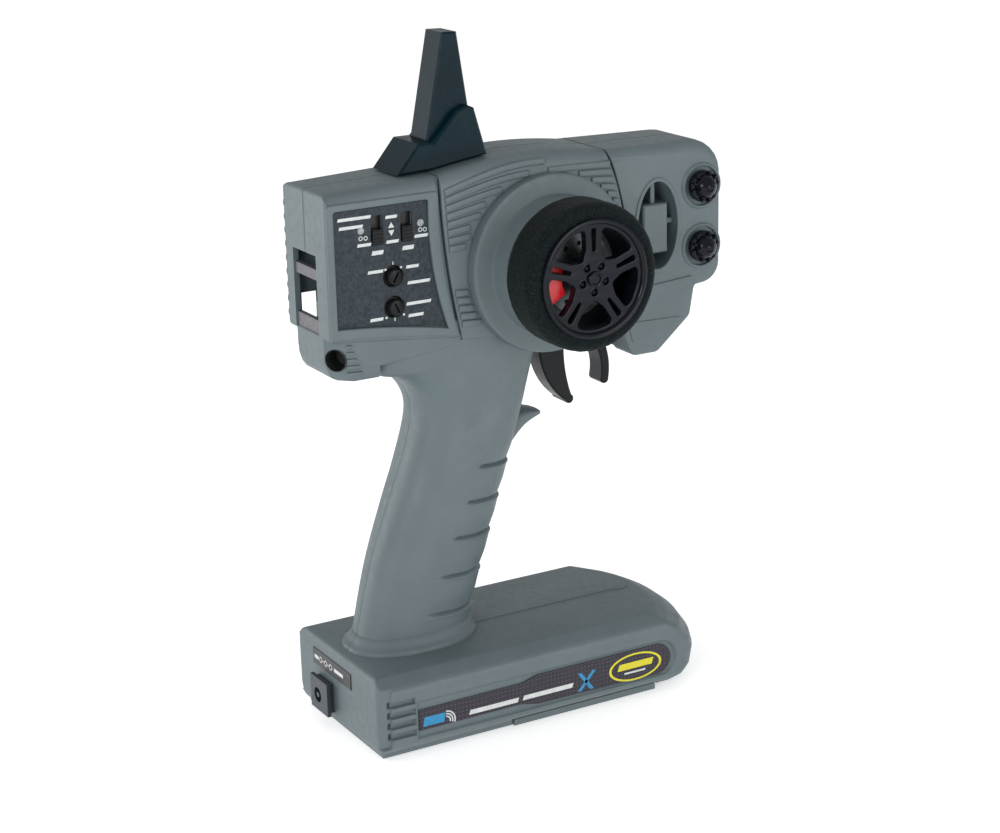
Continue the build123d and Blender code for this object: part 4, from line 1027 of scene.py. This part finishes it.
# side label: a small pale block, three waves, a long legend bar, a cyan cross and a yellow oval
FILM_FACE = -corner_of("side_label_right", 0).y
mark("film_cyan_block", [oblong(-50.6, 10.4, 8.2, 3.4, 0.6)], SIDE, FILM_FACE, cyan_ink)
for index in range(3):
    reach = 1.6 + 0.95 * index
    arc = [(-41.6 + reach * cos(radians(a)), 10.6 + reach * sin(radians(a))) for a in range(-20, 91, 10)]
    mark(f"film_wave_{index}", [strip(arc, 0.5)], SIDE, FILM_FACE, white_ink)
for index, (u, wide) in enumerate(((-32.6, 19.6), (-11.0, 20.4))):
    mark(f"film_legend_{index}", [oblong(u, 10.5 + 0.2 * index, wide, 1.7, 0.6)], SIDE, FILM_FACE, white_ink)
mark("film_cross_0", [[(11.6, 8.4), (13.2, 8.4), (19.4, 15.4), (17.8, 15.4)]], SIDE, FILM_FACE, cyan_ink)
mark("film_cross_1", [[(16.9, 8.4), (18.5, 8.4), (13.4, 15.4), (11.8, 15.4)]], SIDE, FILM_FACE, cyan_ink)
OVAL_MARK = (36.2, 12.6)
mark("film_oval", [circle(11.2, OVAL_MARK, 64, squeeze=0.47), circle(10.2, OVAL_MARK, 64, squeeze=0.45)],
     SIDE, FILM_FACE, yellow_ink)
mark("film_oval_bar", [oblong(28.6, 12.1, 14.6, 2.5, 0.8)], SIDE, FILM_FACE, yellow_ink)
mark("film_oval_rule", [oblong(31.4, 10.3, 9.0, 0.7, 0.2)], SIDE, FILM_FACE, white_ink)

# jack label: polarity signs and a bar at each end
JACK_FACE = -corner_of("jack_label", 0).x
JACK_MARK_Z = (corner_of("jack_label", 0).z + corner_of("jack_label", 1).z) / 2
mark("jack_bar_0", [oblong(-17.2, JACK_MARK_Z - 0.7, 3.2, 1.4)], REAR, JACK_FACE, white_ink)
for index, u in enumerate((-12.2, -8.2, -4.2)):
    mark(f"jack_ring_{index}", [circle(1.15, (u, JACK_MARK_Z), 28), circle(0.8, (u, JACK_MARK_Z), 28)],
         REAR, JACK_FACE, white_ink)
    if index < 2:
        mark(f"jack_link_{index}", [oblong(u + 1.2, JACK_MARK_Z - 0.15, 1.6, 0.3)], REAR, JACK_FACE,
             white_ink)
mark("jack_bar_1", [oblong(-1.4, JACK_MARK_Z - 0.7, 7.0, 1.4)], REAR, JACK_FACE, white_ink)

# ---------------------------------------------------------------- base
# Inset of the base's edges by height, as (z, inset): sides, nose and rear
BASE_SIDE = ((0.0, 5.2), (0.35, 4.6), (1.2, 4.4), (2.55, 4.3), (2.65, 3.0), (4.6, 1.1), (6.2, 0.2),
             (7.4, 0.0), (24.6, 0.0), (26.0, 0.35), (26.9, 1.1), (27.8, 2.3), (29.2, 4.4), (29.8, 5.4),
             (30.0, 6.2))
BASE_NOSE = ((0.0, 13.4), (0.35, 12.8), (1.2, 12.6), (2.55, 12.4), (2.65, 8.0), (4.6, 3.4), (8.0, 1.0),
             (14.0, 0.0), (18.0, 1.0), (23.2, 4.6), (27.0, 9.4), (29.2, 13.6), (29.8, 15.3), (30.0, 16.4))
BASE_BACK = ((0.0, 3.2), (0.35, 2.7), (1.2, 2.5), (2.55, 2.4), (2.65, 1.4), (4.6, 0.5), (8.0, 0.1),
             (26.0, 0.0), (28.6, 0.5), (29.6, 1.1), (30.0, 1.8))
NOSE_X, NOSE_R = 17.0, 55.0
RECESS_Z = (6.6, 20.2)
RECESS_X = (-52.6, 53.4)
VENT_ZS = (21.2, 17.3, 13.4, 9.5)
BAND_X = -62.6             # the side bands start here, proud of the rear cap


def linear(table, key):
    for (a, first), (b, second) in zip(table, table[1:]):
        if key <= b:
            return first + (second - first) * (key - a) / (b - a)
    return table[-1][1]


def band_relief(x, z):
    """Depth pressed into the side of the base: label recess, vents and the narrower rear cap."""
    low, high = RECESS_Z
    radius = (high - low) / 2
    centre_x, centre_z = RECESS_X[1] - radius, (low + high) / 2
    if x > centre_x:
        gap = hypot(x - centre_x, z - centre_z) - radius
    else:
        gap = max(abs(z - centre_z) - radius, RECESS_X[0] - x)
    depth = 1.0 * smooth(-gap / 0.7 + 0.4)
    rim = 0.22 * exp(-((gap - 1.2) / 0.8) ** 2)
    depth -= rim
    depth += 1.1 * smooth((BAND_X - x) / 0.5 + 0.5) * smooth((27.2 - z) / 1.5)
    for vent_z in VENT_ZS:
        inside = min((-53.4 - x) / 0.6, (0.98 - abs(z - vent_z)) / 0.35 + 0.5, (x + 64.0) / 0.8)
        depth += 1.5 * smooth(inside)
    return depth


def base_ring(z):
    side, nose, back = (linear(table, z) for table in (BASE_SIDE, BASE_NOSE, BASE_BACK))
    meet_x = NOSE_X + sqrt(NOSE_R ** 2 - BASE_HALF ** 2)
    first = Vector((meet_x - NOSE_X, -BASE_HALF))
    open_angle = first.angle(Vector((1, 0)))
    nose_points = [(NOSE_X + NOSE_R * cos(-open_angle + 2 * open_angle * k / 40),
                    NOSE_R * sin(-open_angle + 2 * open_angle * k / 40))
                   for k in range(41)]
    records = [(BASE_REAR, -BASE_HALF, 2.6, "side"), (*nose_points[0], 8.0, "nose")]
    records += corners(nose_points[5:-5], 0.0, "nose")
    records += [(*nose_points[-1], 8.0, "side"), (BASE_REAR, BASE_HALF, 2.6, "back")]
    reach = {"side": side, "nose": nose, "back": back}
    loop = [Vector(point[:2]) for point in loop_of(records, lambda tag: reach[tag], 12)]
    outline = [Vector(point[:2]) for point in loop_of(records, None, 12)]
    runs = [there - here for here, there in zip(outline, outline[1:] + outline[:1])]
    pieces = [250 if abs(run.x) > 60 else (40 if abs(run.y) > 30 else 1) for run in runs]
    return densify(loop, pieces, z)


def densify(loop, divisions, z):
    """The ring with its long straight sides divided, and the side relief pressed in."""
    ring = []
    for here, there, pieces in zip(loop, loop[1:] + loop[:1], divisions):
        for k in range(pieces):
            point = here.lerp(there, k / pieces)
            ring.append([point.x, point.y, z])
    for point in ring:
        if point[0] < 60 and 5.0 < z < 27.3:
            share = smooth((abs(point[1]) - (BASE_HALF - 4.0)) / 2.0)
            depth = band_relief(point[0], z) * share
            point[1] -= depth * (1 if point[1] > 0 else -1)
    return [tuple(point) for point in ring]


def base_heights():
    heights = [2.65, 3.4, 4.6, 5.2]
    z = 5.6
    while z < 27.6:
        heights.append(round(z, 2))
        z += 0.3
    return heights + [28.0, 28.6, 29.2, 29.6, 29.8, 29.95, 30.0]


base_skin = skin("base_upper_skin", [base_ring(z) for z in base_heights()], housing_grey, sharp=38)
TRAY_LOW, TRAY_HIGH = corner_of("battery_tray", 0), corner_of("battery_tray", 1)
TRAY_ROOM = 0.3
cut(base_skin, bar_tool((TRAY_LOW.x - TRAY_ROOM, TRAY_LOW.y - TRAY_ROOM, 0.0),
                        (TRAY_HIGH.x + TRAY_ROOM, TRAY_HIGH.y + TRAY_ROOM, TRAY_HIGH.z + TRAY_ROOM)))
housed(base_skin, "base_upper")

# underside tub with its stepped foot and the opening for the battery door
LOWER_LEVELS = (0.0, 0.35, 1.2, 2.55)
lower_skin = skin("base_lower_skin", [base_ring(z) for z in LOWER_LEVELS], housing_grey, sharp=38)
DOOR_CHANNEL = ((-13.2, -29.9, -1.0), (90.0, 29.9, 2.42))
BATTERY_OPENING = ((-11.0, -27.5, -1.0), (45.0, 27.5, 5.0))
cut(lower_skin, bar_tool(*DOOR_CHANNEL), bar_tool(*BATTERY_OPENING))
housed(lower_skin, "base_lower")

# raised band along the deck, ahead of the grip
DECK_BAND = ((-22.0, -1.5), (46.0, -1.5), (52.5, -4.2), (55.0, 6.0), (47.5, 21.5), (-8.0, 21.5), (-22.0, 9.0))
band = plate("deck_band", [flat_loop([(u, v, 3.0, 1.0) for u, v in DECK_BAND])], TOP, DECK_Z + 0.75, 1.3,
             housing_grey, 0.55, 4)
housed(band)

# ---------------------------------------------------------------- materials of the carried-over nodes
NODE_FINISH = {
    housing_grey: ("recess_block", "battery_door"),
    guard_grey: ("switch_guard",),
    satin_black: ("trigger", "throttle_reverse_slider", "steering_reverse_slider", "power_slider",
                  "battery_tray"),
    antenna_black: ("antenna_base_right", "antenna_base_left", "antenna_mast_right", "antenna_mast_left"),
    jack_grey: ("dc_jack",),
    red_gloss: ("brake_caliper",),
    disc_steel: ("brake_disc",),
    bright_steel: ("steering_shaft", "trigger_shaft", "wheel_screw", "housing_screws", "base_screws",
                   "steering_spring",
                   "trigger_spring", "battery_springs"),
    brass: ("battery_contacts", "antenna_element"),
    inner_black_and_bore_shade: ("steering_arm", "steering_pot", "throttle_pot", "trim_pots", "rate_pots",
                  "reverse_switch_bodies", "power_switch_body"),
    board_green: ("main_board", "radio_module"),
    slate_film: ("panel_label",),
    label_black: ("jack_label",),
    carbon_film: ("side_label_right", "side_label_left"),
    lamp_lens: ("indicator_lamps",),
    cell_sleeve: ("battery_cells",),
}
for material, names in NODE_FINISH.items():
    for name in names:
        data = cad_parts[name].data
        data.materials.clear()
        data.materials.append(material)

SHOWN_EDGES = {"antenna_base_right": 0.25, "antenna_base_left": 0.25, "antenna_mast_right": 0.3,
               "antenna_mast_left": 0.3, "recess_block": 0.2,
               "trigger": 0.3, "dc_jack": 0.2, "switch_guard": 0.15, "power_slider": 0.12,
               "throttle_reverse_slider": 0.12,
               "steering_reverse_slider": 0.12}
for name, width in SHOWN_EDGES.items():
    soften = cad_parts[name].modifiers.new("soften", "BEVEL")
    soften.width = width * MM
    soften.segments = 2
    soften.limit_method = "ANGLE"
    soften.angle_limit = radians(30)

# ---------------------------------------------------------------- stage, light and camera
FLOOR, FLOOR_Z = 40, -0.0004       # metres
floor_mesh = bpy.data.meshes.new("floor")
floor_mesh.from_pydata([(-FLOOR, -FLOOR, FLOOR_Z), (FLOOR, -FLOOR, FLOOR_Z), (FLOOR, FLOOR, FLOOR_Z),
                        (-FLOOR, FLOOR, FLOOR_Z)], [], [(0, 1, 2, 3)])
floor_white = moulded("floor_white", (0.965, 0.965, 0.965), 0.85, 8.0, 0.0, 0.004, blotch_mm=300.0)
floor_shader = floor_white.node_tree.nodes["Principled BSDF"]
floor_shader.inputs["Emission Color"].default_value = (1.0, 1.0, 1.0, 1.0)
floor_shader.inputs["Emission Strength"].default_value = 0.44
floor = new_object("floor", floor_mesh, floor_white)


def softbox(name, place, target, size, power):
    light = bpy.data.lights.new(name, "AREA")
    light.shape = "DISK"
    light.size = size
    light.energy = power
    lamp = bpy.data.objects.new(name, light)
    bpy.context.scene.collection.objects.link(lamp)
    lamp.location = place
    lamp.rotation_euler = (Vector(target) - Vector(place)).to_track_quat("-Z", "Y").to_euler()


HEAD_CENTRE = (0.0, 0.0, 0.13)
softbox("key", (-1.0, -0.8, 0.50), HEAD_CENTRE, 0.5, 5.0)
softbox("front", (0.35, -1.25, 0.35), HEAD_CENTRE, 0.7, 5.0)
softbox("rim", (-1.0, 0.80, 0.35), HEAD_CENTRE, 0.8, 6.5)

world = bpy.data.worlds.new("studio")
world.use_nodes = True
world.node_tree.nodes["Background"].inputs["Color"].default_value = (0.985, 0.995, 1.0, 1.0)
world.node_tree.nodes["Background"].inputs["Strength"].default_value = 0.60
bpy.context.scene.world = world
bpy.context.scene.view_settings.view_transform = "Standard"

CAMERA_PLACE = Vector((-0.3759, -0.6693, 0.3410))
CAMERA_RIGHT = Vector((0.86742, -0.49701, -0.02335))
CAMERA_UP = Vector((0.16558, 0.24410, 0.95550))
CAMERA_BACK = Vector((-0.46920, -0.83270, 0.29404))
LENS_MM, SENSOR_MM = 81.7, 36.0
camera_data = bpy.data.cameras.new("camera")
camera_data.lens = LENS_MM
camera_data.sensor_width = SENSOR_MM
camera = bpy.data.objects.new("camera", camera_data)
bpy.context.scene.collection.objects.link(camera)
axes = Matrix((CAMERA_RIGHT, CAMERA_UP, CAMERA_BACK)).transposed()
camera.matrix_world = Matrix.Translation(CAMERA_PLACE) @ axes.to_4x4()
bpy.context.scene.camera = camera
